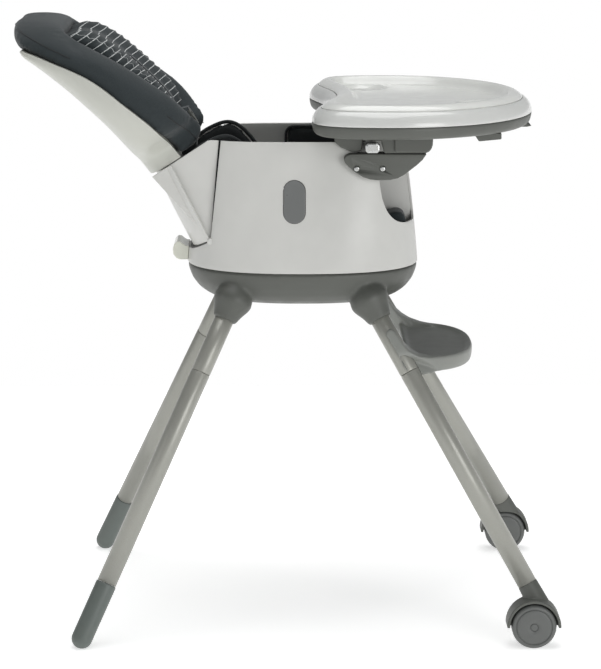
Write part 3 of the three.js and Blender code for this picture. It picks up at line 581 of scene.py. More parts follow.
@dataclass(frozen=True)
class Webbing:
    """Polypropylene webbing, woven in ribs that run along the strap.

    The ribs give narrow highlights, partly from their relief and partly as painted highlight: the
    colour is lighter on each rib's crown. The smooth yarn keeps a dull shine that cloth does not
    have. Real ribs are 1 mm apart and are drawn 2 mm apart.
    """

    name: str
    colour: str
    rib_mm: float = 2.0

    def make(self) -> Material:
        """Builds the material."""
        material, shader, place = start_material(self.name)
        axes = node(material, "ShaderNodeSeparateXYZ", {"Vector": place}).outputs
        pace = 2 * math.pi / (self.rib_mm * MM)
        ribs = maths(material, "SINE", maths(material, "MULTIPLY", axes[1], pace))
        height = maths(material, "MULTIPLY_ADD", ribs, 0.5, 0.5)
        base = linear(self.colour)
        # Painted highlight: the colour is made lighter on each rib's raised crown.
        shade = mixed(material, height, base, tinted(base, 1.7, 0.003))
        relief = bump(material, height, 0.25)
        rough = spread(material, noise(material, place, 5.0), 0.5, 0.62)
        feed(material, shader, {"Base Color": shade, "Roughness": rough, "Normal": relief})
        feed(material, shader, {"Sheen Weight": 0.15})
        return material


class Finishes:
    """Every finish on the chair, made once."""

    def __init__(self, recline_deg: float) -> None:
        """Makes the materials; recline_deg lays the printed lines square to the back."""
        # Satin ABS: the body's pale grey, with soft broad highlights.
        self.shell = MouldedPlastic(
            "moulded ABS, satin light grey", "#cdcdc9", 0.36, 0.7, 0.012, 0.1
        ).make()
        self.back_shell = MouldedPlastic(
            "moulded ABS, satin warm grey", "#bfc0b8", 0.34, 0.7, 0.012, 0.1
        ).make()
        # Spark-eroded polypropylene: dark grey, no clear reflections.
        self.dark = MouldedPlastic(
            "moulded polypropylene, dark grey", "#575954", 0.48, 0.8, 0.03, 0.08
        ).make()
        # Painted light: the footrest's dark plastic is made lighter to stand in for the light
        # falling on its upward face.
        self.step = MouldedPlastic(
            "moulded polypropylene, dark grey lightened as painted light", "#8a8c87", 0.44, 0.8, 0.03, 0.08
        ).make()
        self.button = MouldedPlastic(
            "moulded ABS, mid grey", "#6d6f6e", 0.3, 0.7, 0.01, 0.04, 0.2
        ).make()
        # Polished mould: the tray and the tab are wet-looking. The tab's paler ivory colour is
        # painted light, standing in for the strong light it catches from behind.
        self.ivory = MouldedPlastic(
            "moulded ABS, polished, paler as painted light", "#e8e9dc", 0.16, 0.9, 0.004, 0.05, 0.5
        ).make()
        self.tray = MouldedPlastic(
            "moulded ABS, polished light grey", "#d0d1ce", 0.22, 0.9, 0.005, 0.06, 0.4
        ).make()
        self.insert = MouldedPlastic(
            "moulded polypropylene, polished white", "#dfe0dc", 0.2, 0.9, 0.006, 0.08, 0.3
        ).make()
        self.foot = MouldedPlastic(
            "moulded polyethylene, grey green", "#636a66", 0.46, 0.8, 0.03, 0.1
        ).make()
        self.wheel = MouldedPlastic("moulded nylon, grey", "#606260", 0.4, 0.8, 0.02, 0.05).make()
        self.tube = SilverPaint().make()
        self.steel = ZincPlate().make()
        self.cloth = WovenCloth("woven polyester cloth, charcoal", "#272d2f", sheen=0.18).make()
        self.piping = WovenCloth("woven polyester piping, black", "#1d2021", 1.2, sheen=0.2).make()
        self.printed = WovenCloth(
            "woven polyester cloth, charcoal with pale lines", "#242a2c",
            lines_mm=11.0, tilt_deg=recline_deg, sheen=0.15,
        ).make()
        self.lining = WovenCloth(
            "coated polyester lining, black", "#1e2122", 1.4, sheen=0.1, roughness=0.7
        ).make()
        self.webbing = Webbing("woven polypropylene webbing, charcoal", "#2b3032").make()


# ------------------------------------------------------------------ the chair's common form


@dataclass
class SeatForm:
    """The seat's oval plan, which the hub, the shell and the lower back all follow. Millimetres."""

    shift: float
    seam_z: float = 530.0
    rim_z: float = 721.0
    half_length: float = 174.0
    half_width: float = 160.0
    pivot_x: float = -137.0
    pivot_z: float = 572.0
    recline: float = math.radians(33.0)

    def place(self, x: float, y: float, z: float) -> Point:
        """Millimetres from the seat's middle as a point of the row's frame."""
        return ((x + self.shift) * MM, y * MM, z * MM)

    def place_back(self, x: float, y: float, h: float) -> Point:
        """A place on the upright backrest, h above its pivot and x forward, as it lies reclined."""
        c, s = math.cos(self.recline), math.sin(self.recline)
        return self.place(self.pivot_x + x * c - h * s, y, self.pivot_z + x * s + h * c)

    def oval(self, z: float) -> tuple[float, float, float]:
        """Half length, half width and squareness of the plan at a height."""
        t = (z - self.seam_z) / (self.rim_z - self.seam_z)
        length = self.half_length * (1 - 0.09 * t - 0.04 * t * t)
        width = self.half_width * (1 - 0.11 * t - 0.077 * t * t)
        return length, width, 2.5 + 1.1 * t

    def on_oval(self, angle: float, z: float, inset: float = 0.0) -> tuple[float, float]:
        """The plan's point at an angle, moved in by an inset."""
        length, width, power = self.oval(z)
        c, s = math.cos(angle), math.sin(angle)
        return bent(length - inset, c, 2 / power), bent(width - inset, s, 2 / power)

    def ring(self, z: float, inset: float, count: int) -> list[Point]:
        """The whole plan at a height, moved in by an inset."""
        angles = [2 * math.pi * i / count for i in range(count)]
        return [self.place(*self.on_oval(a, z, inset), z) for a in angles]

    def angle_at_x(self, x: float, z: float) -> float:
        """The angle, from 0 at the front to pi at the rear, at which the plan reaches x."""
        length, _, power = self.oval(z)
        c = min(1.0, abs(x) / length) ** (power / 2)
        return math.acos(math.copysign(c, x))

    def angle_at_y(self, y: float, z: float) -> float:
        """The angle near the front at which the plan is y from the middle."""
        _, width, power = self.oval(z)
        return math.asin(min(1.0, abs(y) / width) ** (power / 2))

    def wall_y(self, x: float, z: float) -> float:
        """How far out the wall stands at x and z."""
        length, width, power = self.oval(z)
        return width * max(0.0, 1 - abs(x / length) ** power) ** (1 / power)


# ------------------------------------------------------------------ legs and casters


@dataclass
class Legs:
    """Four splayed tubes in two lengths each, with feet behind and casters in front."""

    form: SeatForm
    finishes: Finishes
    tube_radius: float = 14.3
    socket_z: float = 503.0
    socket_y: float = 122.0
    socket_x: dict = field(default_factory=lambda: {"front": 88.0, "rear": -96.0})
    run: dict = field(default_factory=lambda: {"front": 0.575, "rear": -0.464})
    side_run: float = 0.326
    joint_z: float = 384.0
    foot_top_z: float = 90.0
    foot_radius: float = 15.2
    caster_top_z: float = 88.0

    def at(self, end: str, side: Side, z: float) -> Vector:
        """The leg's axis at a height, in metres."""
        drop = self.socket_z - z
        x = self.socket_x[end] + self.run[end] * drop
        return Vector(self.form.place(x, side.sign * (self.socket_y + self.side_run * drop), z))

    def build(self) -> None:
        """Builds every tube and both feet."""
        for end in ("rear", "front"):
            for side in Side:
                self.tube(end, side)
        for side in Side:
            self.foot(side)

    def tube(self, end: str, side: Side) -> None:
        """The upper and lower tube of one leg, with a rolled edge where they meet."""
        r = self.tube_radius
        top, joint = self.at(end, side, 498), self.at(end, side, self.joint_z)
        bottom = self.at(end, side, self.caster_top_z if end == "front" else self.foot_top_z)
        upper_length = (top - joint).length / MM
        upper = turned(
            f"upper_leg_tube_{end}_{side.label}",
            joint,
            top,
            [
                (r - 1.5, 0.6), (r - 0.7, 0.2), (r - 0.2, 0.5), (r, 1.2), (r, upper_length),
                (r - 2, upper_length),
            ],
            64,
        )
        lower_length = (joint - bottom).length / MM
        lower = turned(
            f"lower_leg_tube_{end}_{side.label}",
            bottom,
            joint,
            [
                (r - 2, 0.0), (r, 0.0), (r, lower_length - 1.4), (r - 0.4, lower_length - 0.6),
                (r - 1.2, lower_length - 0.4), (r - 1.4, lower_length + 4),
            ],
            64,
        )
        for piece, cad in ((upper, "upper_leg"), (lower, "lower_leg")):
            dress(piece, self.finishes.tube, "painted_tube", "chair", f"{cad}_{end}_{side.label}")

    def foot(self, side: Side) -> None:
        """A solid moulded foot with a round end that is flat where it stands."""
        flat = 1.2
        centre_z = self.foot_radius - flat
        centre, top = self.at("rear", side, centre_z), self.at("rear", side, self.foot_top_z)
        length = (top - centre).length / MM
        r = self.foot_radius
        dome = [(r * math.sin(a), -r * math.cos(a)) for a in steps(0.02, math.pi / 2, 10)]
        foot = turned(
            f"rear_foot_cap_{side.label}",
            centre,
            top,
            [
                *dome, (r, length * 0.5), (r, length - 3), (r - 0.3, length - 1),
                (r - 1.4, length - 0.4),
            ],
            64,
        )
        for vertex in foot.data.vertices:
            vertex.co.z = max(vertex.co.z, 0.0)
        dress(foot, self.finishes.foot, "foot_plastic", "chair", f"rear_foot_{side.label}")


@dataclass
class Casters:
    """A twin wheel under a hood on each front leg."""

    legs: Legs
    wheel_radius: float = 32.5
    wheel_width: float = 14.5
    setback: float = 24.0
    web_half: float = 3.2
    hood_gap: float = 2.6
    hood_wall: float = 4.2

    def centre(self, side: Side) -> Vector:
        """The wheels' centre, in metres."""
        on_axis = self.legs.at("front", side, self.wheel_radius)
        return on_axis - Vector((self.setback * MM, 0, 0))

    def build(self) -> None:
        """Builds both casters."""
        for side in Side:
            self.housing(side)
            self.wheels(side)
            self.axle(side)

    def housing(self, side: Side) -> None:
        """The hood over the wheels, the web between them and the neck on the tube."""
        c = self.centre(side)
        inner = self.wheel_radius + self.hood_gap
        outer = inner + self.hood_wall
        half = self.web_half + 0.8 + self.wheel_width

        def sector(name: str, r0: float, r1: float, y: float) -> Object:
            angles = steps(math.radians(-2), math.radians(182), 40)
            arc = [(r1 * math.cos(a), r1 * math.sin(a)) for a in angles]
            back = [(r0 * math.cos(a), r0 * math.sin(a)) for a in reversed(angles)] if r0 else []
            rings = [
                [(c.x + u * MM, c.y + v * MM, c.z + w * MM) for u, w in arc + back] for v in (-y, y)
            ]
            return lofted(name, rings)

        hood = sector("hood", inner, outer, half)
        web = sector("web", 0.0, inner + 2, self.web_half)
        low, top = self.legs.at("front", side, 58), self.legs.at(
            "front", side, self.legs.caster_top_z
        )
        length = (top - low).length / MM
        r = self.legs.tube_radius
        neck = turned(
            "neck",
            low,
            top,
            [(r + 1.5, 0), (r + 1.0, length * 0.5), (r + 0.5, length), (r - 3, length)],
            48,
        )
        pockets = []
        for sign in (side.sign, -side.sign):
            face = c + Vector((0, sign * self.web_half * MM, 0))
            out = c + Vector((0, sign * 60 * MM, 0))
            pockets.append(turned("pocket", face, out, [(inner, 0), (inner, 40)], 96))
        boss = turned(
            "boss", c - Vector((0, 3.6 * MM, 0)), c + Vector((0, 3.6 * MM, 0)),
            [(10, 0), (10, 7.2)], 32,
        )
        body = carved(joined("body", [neck]), *pockets)
        housing = fused(f"caster_hood_{side.label}", [hood, web, body, boss], 0.9, 5)
        dress(
            housing, self.legs.finishes.dark, "dark_plastic", "chair",
            f"caster_housing_{side.label}",
        )

    def wheels(self, side: Side) -> None:
        """Two wheels with a rounded tread, a grooved face and a hub cap."""
        c = self.centre(side)
        r, w = self.wheel_radius, self.wheel_width
        for label, out in (("outer", side.sign), ("inner", -side.sign)):
            start = c + Vector((0, out * (self.web_half + 0.8) * MM, 0))
            profile = [
                (3.5, 0), (r - 2.5, 0), (r - 0.9, 0.5), (r, 2.2), (r, w - 4.5), (
                    r - 0.6, w - 2.6
                ), (r - 2.0, w - 1.1),
                (
                    r - 3.6, w - 0.5
                ), (r - 5.2, w - 0.5), (r - 5.7, w - 0.7), (r - 6.0, w - 1.5), (r - 6.6, w - 1.7),
                (r - 7.1, w - 1.5), (r - 7.4, w - 0.7), (
                    r - 8.0, w - 0.35
                ), (r - 12, w - 0.1), (r - 20, w),
                (6.5, w), (
                    6.2, w - 0.2
                ), (6.0, w - 0.9), (5.6, w - 1.1), (5.2, w - 0.9), (5.0, w - 0.2), (4.0, w), (0, w),
            ]
            wheel = turned(
                f"caster_twin_wheel_{side.label}_{label}", start, start + Vector((0, out, 0)),
                profile, 96,
            )
            dress(
                wheel, self.legs.finishes.wheel, "wheel_plastic", f"wheel_{side.label}_{label}",
                f"caster_wheel_{side.label}_{label}",
            )

    def axle(self, side: Side) -> None:
        """The steel axle with chamfered ends."""
        c = self.centre(side)
        half = 16.5
        profile = [(2.4, 0), (3.0, 0.6), (3.0, 2 * half - 0.6), (2.4, 2 * half)]
        start = c - Vector((0, half * MM, 0))
        axle = turned(f"caster_pin_{side.label}", start, c, profile, 32)
        dress(axle, self.legs.finishes.steel, "steel", "chair", f"caster_axle_{side.label}")


def dress(
    obj: Object, material: Material, slot: str, body: str, *nodes: str
) -> Object:
    """Gives a piece its finish and its place in the moving chair.

    Args:
        obj: the piece.
        material: its material.
        slot: the record's material slot; not used.
        body: the body it rides on.
        *nodes: the CAD nodes it stands for.

    Returns:
        The piece.
    """
    obj.data.materials.clear()
    obj.data.materials.append(material)
    if nodes:
        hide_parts(*nodes)
    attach(obj, body)
    log.info("%s on %s: %d faces", obj.name, body, len(obj.data.polygons))
    return obj


# ------------------------------------------------------------------ hub, seat shell and fittings


@dataclass
class Base:
    """The dark hub under the seat and the footrest on the front legs."""

    form: SeatForm
    finishes: Finishes
    legs: Legs

    def hub(self) -> None:
        """A shallow bowl with four sockets that grow out of it."""
        profile = [
            (60, 474.6), (100, 475), (128, 478), (146, 485), (158, 494), (167, 506), (172, 519),
            (173.6, 528), (172.6, 530),
        ]
        narrower = self.form.half_length - self.form.half_width
        rings = []
        for half, z in profile:
            ring = []
            for i in range(96):
                a = 2 * math.pi * i / 96
                c, s = math.cos(a), math.sin(a)
                ring.append(self.form.place(bent(half, c, 0.8), bent(half - narrower, s, 0.8), z))
            rings.append(ring)
        parts = [lofted("bowl", rings)]
        for end in ("rear", "front"):
            for side in Side:
                low, top = self.legs.at(end, side, 458), self.legs.at(end, side, 520)
                length = (top - low).length / MM
                shape = [
                    (18.6, 0), (19.4, length * 0.08), (22.5, length * 0.2), (27, length * 0.32),
                    (30, length * 0.44), (28, length * 0.56), (22, length * 0.72),
                    (10, length * 0.9),
                ]
                parts.append(turned("socket", low, top, shape, 48))
        hub = fused("hub_moulding", parts, 2.2, 26)
        for vertex in hub.data.vertices:
            vertex.co.z = min(vertex.co.z, self.form.seam_z * MM)
        dress(hub, self.finishes.dark, "dark_plastic", "chair", "hub")

    def footrest(self) -> None:
        """A dished step with a raised rim, and an arm on each side that clips round the leg."""
        front, back, half, top, low = 258.0, 152.0, 150.0, 403.0, 380.0

        def ring(inset: float, z: float) -> list[Point]:
            points = []
            for i in range(41):
                a = math.pi * (i / 40 - 0.5)
                c, s = math.cos(a), math.sin(a)
                y = bent(half - inset, s, 2 / 2.5)
                x = back + inset + (front - back - 2 * inset) * abs(c) ** (2 / 2.5)
                points.append(self.form.place(x, y, z))
            return points

        plate = lofted("plate", [
            ring(16, low + 10), ring(4.5, low), ring(
                2.2, low + 2
            ), ring(0.5, low + 9), ring(0, top - 3), ring(1.4, top),
            ring(4, top + 0.8), ring(7, top - 0.4), ring(
                10, top - 3.4
            ), ring(14, top - 4.6), ring(24, top - 5),
        ])
        parts = [plate]
        cutters = []
        for side in Side:
            curve = [
                (157, 381), (150, 391), (137, 414), (121, 442), (124, 447), (129, 448.5),
                (134, 445), (140, 436), (148, 425),
            ]
            curve += [
                (158, 415.5), (170, 408.5), (186, 404.5), (204, top), (208, top - 6),
                (206, low + 3), (190, low),
            ]
            sheets = []
            for off in (-20.0, -18.0, 15.0, 18.2):
                shrink = 1.5 if off in (-20.0, 18.2) else 0.0
                ring = []
                for x, z in curve:
                    leg = self.legs.at("front", side, z)
                    blend = smoothstep(150, 206, x)
                    edge = half * max(
                        0.0, 1 - (max(0.0, x - back) / (front - back)) ** 2.5
                    ) ** (1 / 2.5)
                    y = (1 - blend) * (abs(leg.y) / MM + off) + blend * (edge - 9 + off * 0.45)
                    ring.append(self.form.place(x, side.sign * y, z - shrink))
                sheets.append(ring)
            parts.append(lofted("arm", sheets))
            bore_low, bore_top = self.legs.at("front", side, 330), self.legs.at("front", side, 500)
            cutters.append(turned("bore", bore_low, bore_top, [(14.7, 0), (14.7, 210)], 48))
        step = fused("footrest_step", parts, 1.8, 9)
        step = carved(step, *cutters)
        # The footrest's lighter grey is painted light on the hub's dark plastic.
        dress(step, self.finishes.step, "dark_plastic", "chair", "footrest")


@dataclass
class SeatShell:
    """The pale tub: side walls, two leg openings, the middle post and the side buttons."""

    form: SeatForm
    finishes: Finishes
    wall: float = 3.5
    opening_z: float = 597.0
    post_half: float = 32.0
    post_fillet: float = 15.0
    button_x: float = -13.0
    button_z: float = 635.0
    columns: tuple = (18, 46, 12, 8)

    def rear_x(self, z: float) -> float:
        """The side wall's rear edge."""
        return self.form.pivot_x + max(0.0, z - self.form.pivot_z) * LEAN_RUN / LEAN_RISE

    def opening_x(self, z: float) -> float:
        """The rear edge of a leg opening, which runs round into its lower edge."""
        if z >= CORNER_TOP_Z:
            return 112 - (z - CORNER_TOP_Z) * 8 / 93
        low, high = 0.0, 1.0
        for _ in range(30):
            t = (low + high) / 2
            low, high = (t, high) if self.corner_z(t) > z else (low, t)
        return (1 - t) ** 2 * 112 + 2 * t * (1 - t) * 117 + t * t * 156

    def corner_z(self, t: float) -> float:
        """The height on the curve at an opening's rear corner, t from 0 at its top to 1."""
        pull = 2 * t * (1 - t) * CORNER_PULL_Z
        return (1 - t) ** 2 * CORNER_TOP_Z + pull + t * t * self.opening_z

    def post_y(self, z: float) -> float:
        """Half the middle post's width, with a fillet at its foot."""
        r = self.post_fillet
        lift = min(r, max(0.0, z - self.opening_z))
        return self.post_half + r - math.sqrt(max(0.0, r * r - (r - lift) ** 2))

    def build(self) -> None:
        """Builds the shell and its buttons."""
        form = self.form
        body = self.wall_skin()
        floor = [form.ring(z, self.wall - 0.4, 72) for z in (568, 571)]
        front = lambda z: form.oval(z)[0] - 1.6
        column = [
            (124, 573), (front(573), 573), (front(650), 650), (front(700), 700), (front(712), 712)
        ]
        column += [
            (front(714) - 4, 716), (108, 716), (101.5, 710), (101.5, 614), (106, 609), (121, 605),
            (124, 602),
        ]
        post = rounded(
            prism("post", column, -self.post_half + 0.5, self.post_half - 0.5, form.place), 3.0, 4
        )
        shell = joined("seat_shell_moulding", [body, lofted("floor", floor), post])
        shell = carved(shell, *[self.button_body("hole", side, 0.7, -12, 12) for side in Side])
        shell.data.set_sharp_from_angle(angle=math.radians(40))
        dress(shell, self.finishes.shell, "light_plastic", "chair", "seat_shell")
        for side in Side:
            button = rounded(
                self.button_body(f"seat_release_{side.label}", side, 0.0, -self.wall, 1.3), 1.2, 4
            )
            dress(
                button, self.finishes.button, "button_plastic", f"seat_button_{side.label}",
                f"seat_release_button_{side.label}",
            )
        self.rear_tab()

    def wall_skin(self) -> Object:
        """The wall as one skin whose grid follows the edges of its openings."""
        form = self.form
        low = steps(form.seam_z + 0.4, form.pivot_z, 6)
        middle = steps(form.pivot_z, self.opening_z, 4)[1:]
        curve = [self.corner_z(t) for t in reversed(steps(0, 1, 16))][1:]
        high = steps(CORNER_TOP_Z, form.rim_z, 8)[1:]
        heights = low + middle + curve + high
        rear, side_wall, opening, _ = self.columns
        grid = []
        for z in heights:
            stops = [math.pi, form.angle_at_x(self.rear_x(z), z)]
            stops += [
                form.angle_at_x(self.opening_x(z), z), form.angle_at_y(self.post_y(z), z), 0.0
            ]
            angles = []
            for k, count in enumerate(self.columns):
                angles += [stops[k] + (stops[k + 1] - stops[k]) * i / count for i in range(count)]
            half = [*angles, 0.0]
            ring = [-a for a in half] + half[-2:0:-1]
            row = []
            for a in ring:
                level = z
                if z <= form.pivot_z:
                    x_here = form.on_oval(a, z)[0]
                    dip = max(0.0, form.pivot_x - x_here) * math.tan(form.recline)
                    level = form.seam_z + (z - form.seam_z) * (
                        form.pivot_z - dip - form.seam_z
                    ) / (form.pivot_z - form.seam_z)
                x, y = form.on_oval(a, level)
                row.append(form.place(x, y, level))
            grid.append(row)
        count = len(grid[0])
        half_count = sum(self.columns)

        def kept(z: float, column: int) -> bool:
            k = min(column, count - 1 - column)
            if k < rear:
                return z < form.pivot_z - 0.1
            if k < rear + side_wall:
                return True
            if k < rear + side_wall + opening:
                return z < self.opening_z - 0.1
            return k < half_count

        faces = []
        for i, z in enumerate(heights[:-1]):
            for j in range(count):
                if kept(z, j):
                    k = (j + 1) % count
                    faces.append(
                        [i * count + j, i * count + k, (i + 1) * count + k, (i + 1) * count + j]
                    )
        obj = add_object("wall", [p for row in grid for p in row], faces)
        centre = Vector(form.place(0, 0, 600))
        outward = sum((f.center - centre).dot(f.normal) for f in obj.data.polygons)
        if outward < 0:
            obj.data.flip_normals()
        thick = obj.modifiers.new("wall", "SOLIDIFY")
        thick.thickness = self.wall * MM
        thick.offset = -1.0
        bevel = obj.modifiers.new("edges", "BEVEL")
        bevel.width = 1.1 * MM
        bevel.segments = 3
        bevel.limit_method = "ANGLE"
        bevel.angle_limit = math.radians(50)
        return applied(obj)

    def button_body(self, name: str, side: Side, margin: float, start: float, end: float) -> Object:
        """The button's long oval between two depths from the wall; with a margin, its hole."""
        form = self.form
        face = form.wall_y(self.button_x, self.button_z)
        lean = math.atan2(
            form.wall_y(
                self.button_x, self.button_z - 30
            ) - form.wall_y(self.button_x, self.button_z + 30),
            60,
        )
        radius, straight = 16.0 + margin, 15.5
        outline = [
            (radius * math.cos(a), straight + radius * math.sin(a)) for a in steps(0, math.pi, 20)
        ]
        outline += [
            (radius * math.cos(a), -straight + radius * math.sin(a))
            for a in steps(math.pi, 2 * math.pi, 20)
        ]
        rings = []
        for depth in (start, end):
            ring = []
            for u, v in outline:
                out = face + depth * math.cos(lean) - v * math.sin(lean)
                ring.append(
                    form.place(
                        self.button_x + u,
                        side.sign * out,
                        self.button_z + v * math.cos(lean) + depth * math.sin(lean),
                    )
                )
            rings.append(ring)
        return lofted(name, rings)

    def rear_tab(self) -> None:
        """The polished tab behind the seat."""
        form = self.form
        outline = [
            (-162, 532), (-162, 552.5), (-176, 553), (-180, 555.5), (-184, 559), (-189, 559.6),
            (-193.5, 556), (-195.8, 548), (-195, 540), (-191, 534.5), (-186, 532),
        ]
        tab = prism("rear_tab", outline, -33, 33, form.place)
        cutter_rings = [form.ring(z, -0.5, 96) for z in (500, 560, 600)]
        tab = carved(tab, lofted("cutter", cutter_rings))
        rounded(tab, 2.2, 4, 30)
        # The tab's paler colour is painted light for the strong light from behind.
        dress(tab, self.finishes.ivory, "ivory_plastic", "rear_tab", "rear_release_tab")


# ------------------------------------------------------------------ backrest


@dataclass
class Backrest:
    """The reclining back: the lower back with wings, its lever, and the deep upper shell."""

    form: SeatForm
    finishes: Finishes
    split: float = 127.0
    top: float = 386.0
    pad_top: float = 424.0
    wing_radius: float = 149.0
    rear: tuple = (
        (127, -26), (169, -30), (223, -37), (268, -47), (316, -60), (362, -75), (386, -86),
        (424, -88),
    )
    seat: tuple = (
        (127, 32), (144, 30), (186, 26), (236, 12), (299, -11), (365, -55), (386, -70), (424, -74)
    )
    ridge: tuple = (
        (127, 74), (147, 82), (171, 80), (213, 71), (245, 58), (286, 39), (330, 15), (371, -9),
        (390, -21), (405, -36), (424, -60),
    )
    half: tuple = ((127, 104), (152, 105), (170, 140), (210, 168), (290, 182), (350, 172))

    def half_width(self, h: float) -> float:
        """Half the upper back's width, closing in a broad arch at the top."""
        if h < 300:
            return along(self.half, h)
        t = min(1.0, (h - 300) / (self.pad_top + 1 - 300))
        return along(self.half, 300) * max(0.02, 1 - t**2.8) ** (1 / 2.8)

    def build(self) -> None:
        """Builds the shells and the lever."""
        self.lower()
        self.lever()
        self.upper()

    def lower(self) -> None:
        """The rear wall, which carries on the seat's form, and a wing on each side."""
        form = self.form
        rings = []
        for h in steps(2.0, self.split - 0.8, 10):
            z = form.pivot_z + h
            edge = form.pivot_x - 1.2 + h * LEAN_RUN / LEAN_RISE
            limit = form.angle_at_x(edge, z)
            angles = steps(-limit, -math.pi, 24) + steps(math.pi, limit, 24)[1:]
            ring = []
            for a in angles:
                x, y = form.on_oval(a, z)
                ring.append(form.place_back(x - form.pivot_x, y, h))
            rings.append(ring)
        wall = lofted("rear_wall", rings, closed=False, caps=False)
        outward = sum(f.normal.x for f in wall.data.polygons)
        if outward > 0:
            wall.data.flip_normals()
        thick = wall.modifiers.new("wall", "SOLIDIFY")
        thick.thickness = 3 * MM
        thick.offset = -1.0
        rounded(wall, 1.0, 3, 50)
        applied(wall)
        whole = bmesh.new()
        whole.from_mesh(wall.data)
        bmesh.ops.recalc_face_normals(whole, faces=whole.faces)
        whole.to_mesh(wall.data)
        whole.free()
        window = [(-60, 51.5), (0, 51.5), (0, 84.5), (-60, 84.5)]
        parts = [carved(wall, prism("window", window, -32, 32, form.place_back))]
        for side in Side:
            points = [(0.0, 0.0)]
            for degrees in steps(-9, 38, 22):
                a = math.radians(degrees)
                r = min(self.wing_radius, (self.split - 0.8) / math.cos(a))
                points.append((r * math.sin(a), r * math.cos(a)))
            layers = []
            for inset in (0.0, 2.5):
                layers.append([
                    form.place_back(
                        x, side.sign * (WING_Y - WING_LEAN * math.hypot(x, h) - inset), h
                    ) for x, h in points
                ])
            parts.append(rounded(lofted("wing", layers), 0.8, 3, 40))
            pin = Vector(form.place_back(0, side.sign * 107, 0)), Vector(
                form.place_back(0, side.sign * 118.5, 0)
            )
            parts.append(turned("pin", *pin, [(5, 0), (5, 10.5), (4, 11.5)], 32))
        back = joined("lower_back_moulding", parts)
        back.data.set_sharp_from_angle(angle=math.radians(40))
        dress(back, self.finishes.shell, "light_plastic", "backrest", "lower_back")

    def lever(self) -> None:
        """The squeeze lever in the rear wall's window, dished for the fingers."""
        form = self.form
        rings = []
        for h in steps(52.6, 83.4, 12):
            z = form.pivot_z + h
            row_front, row_back = [], []
            for y in steps(-31.2, 31.2, 24):
                length, width, power = form.oval(z)
                x = -length * (1 - abs(y / width) ** power) ** (1 / power) - form.pivot_x
                dish = 1.2 * max(0.0, 1 - (y / 27) ** 2) * max(0.0, 1 - ((h - 66) / 13) ** 2)
                row_back.append(form.place_back(x + dish, y, h))
                row_front.append(form.place_back(x + 3, y, h))
            rings.append(row_back + list(reversed(row_front)))
        lever = rounded(lofted("recline_squeeze_lever", rings), 0.7, 3, 50)
        dress(lever, self.finishes.button, "button_plastic", "recline_lever", "recline_lever")

    def upper(self) -> None:
        """The deep pan behind the pad, with soft corners."""
        form = self.form
        heights = [self.split + 0.4, self.split + 1.6, 135, 145, 152, 158, 164, 170, 180, 195]
        heights += steps(210, 350, 14) + [362, 372, 379, 383.5, 385.6]
        rings = []
        for h in heights:
            close = max(0.0, (h - 366) / (self.top - 366)) ** 2 * 7
            start = max(0.0, 1 - (h - self.split) / 1.4) * 1.0
            front = along(self.seat, h) - 0.6 - close * 0.3
            rear = along(self.rear, h) + close + start
            half = self.half_width(h) - close - start
            ring = []
            for i in range(61):
                a = math.pi * (0.5 + i / 60)
                c, s = math.cos(a), math.sin(a)
                x = front - (front - rear) * abs(c) ** (2 / 3.4)
                ring.append(form.place_back(x, bent(half, s, 2 / 3.4), h))
            rings.append(ring)
        shell = lofted("upper_back_moulding", rings)
        rounded(shell, 1.0, 3, 50)
        dress(shell, self.finishes.back_shell, "light_plastic", "backrest", "upper_back_shell")


# ------------------------------------------------------------------ soft pieces


def puffed(obj: Object, voxel_mm: float, cap_mm: float, pressure: float = 4.0) -> Object:
    """Fills a pad by cloth simulation with air pressure inside, and keeps the result.

    Args:
        obj: a closed pad, a little smaller than the finished one.
        voxel_mm: the size of the cloth's squares.
        cap_mm: how far a point may move.
        pressure: how hard the pad is filled.

    Returns:
        The same object with its new mesh.
    """
    remesh = obj.modifiers.new("cloth grid", "REMESH")
    remesh.mode = "VOXEL"
    remesh.voxel_size = voxel_mm * MM
    soften = obj.modifiers.new("soften", "SMOOTH")
    soften.iterations = 3
    applied(obj)
    before = np.array([v.co for v in obj.data.vertices])
    cloth = obj.modifiers.new("filling", "CLOTH")
    cloth.settings.use_pressure = True
    cloth.settings.uniform_pressure_force = pressure
    cloth.settings.tension_stiffness = 12
    cloth.settings.compression_stiffness = 12
    cloth.settings.bending_stiffness = 0.6
    cloth.settings.effector_weights.gravity = 0
    scene = bpy.context.scene
    for number in range(1, 19):
        scene.frame_set(number)
    applied(obj)
    after = np.array([v.co for v in obj.data.vertices])
    move = after - before
    reach = np.linalg.norm(move, axis=1, keepdims=True)
    capped = move * np.minimum(1.0, cap_mm * MM / np.maximum(reach, 1e-9))
    obj.data.vertices.foreach_set("co", (before + capped).ravel())
    scene.frame_set(1)
    settle = obj.modifiers.new("settle", "SMOOTH")
    settle.iterations = 2
    applied(obj)
    fine = obj.modifiers.new("fine", "SUBSURF")
    fine.levels = 1
    fine.render_levels = 1
    return smooth(applied(obj))


def cord_along(name: str, path: Sequence[Vector], radius_mm: float, sides: int = 10) -> Object:
    """A sewn-in piping: a round cord through the points, with rounded ends."""
    rings = []
    up = Vector((0.3, 0.2, 1.0)).normalized()
    radii = [radius_mm] * len(path)
    radii[0] = radii[-1] = radius_mm * 0.35
    for i, point in enumerate(path):
        ahead = (path[min(i + 1, len(path) - 1)] - path[max(i - 1, 0)]).normalized()
        first = ahead.cross(up)
        first = (first if first.length > 1e-6 else Vector((1, 0, 0))).normalized()
        second = ahead.cross(first).normalized()
        angles = [2 * math.pi * k / sides for k in range(sides)]
        rings.append(
            [
                tuple(point + (first * math.cos(a) + second * math.sin(a)) * radii[i] * MM)
                for a in angles
            ]
        )
        up = -second if second.dot(up) < 0 else second
    return lofted(name, rings)


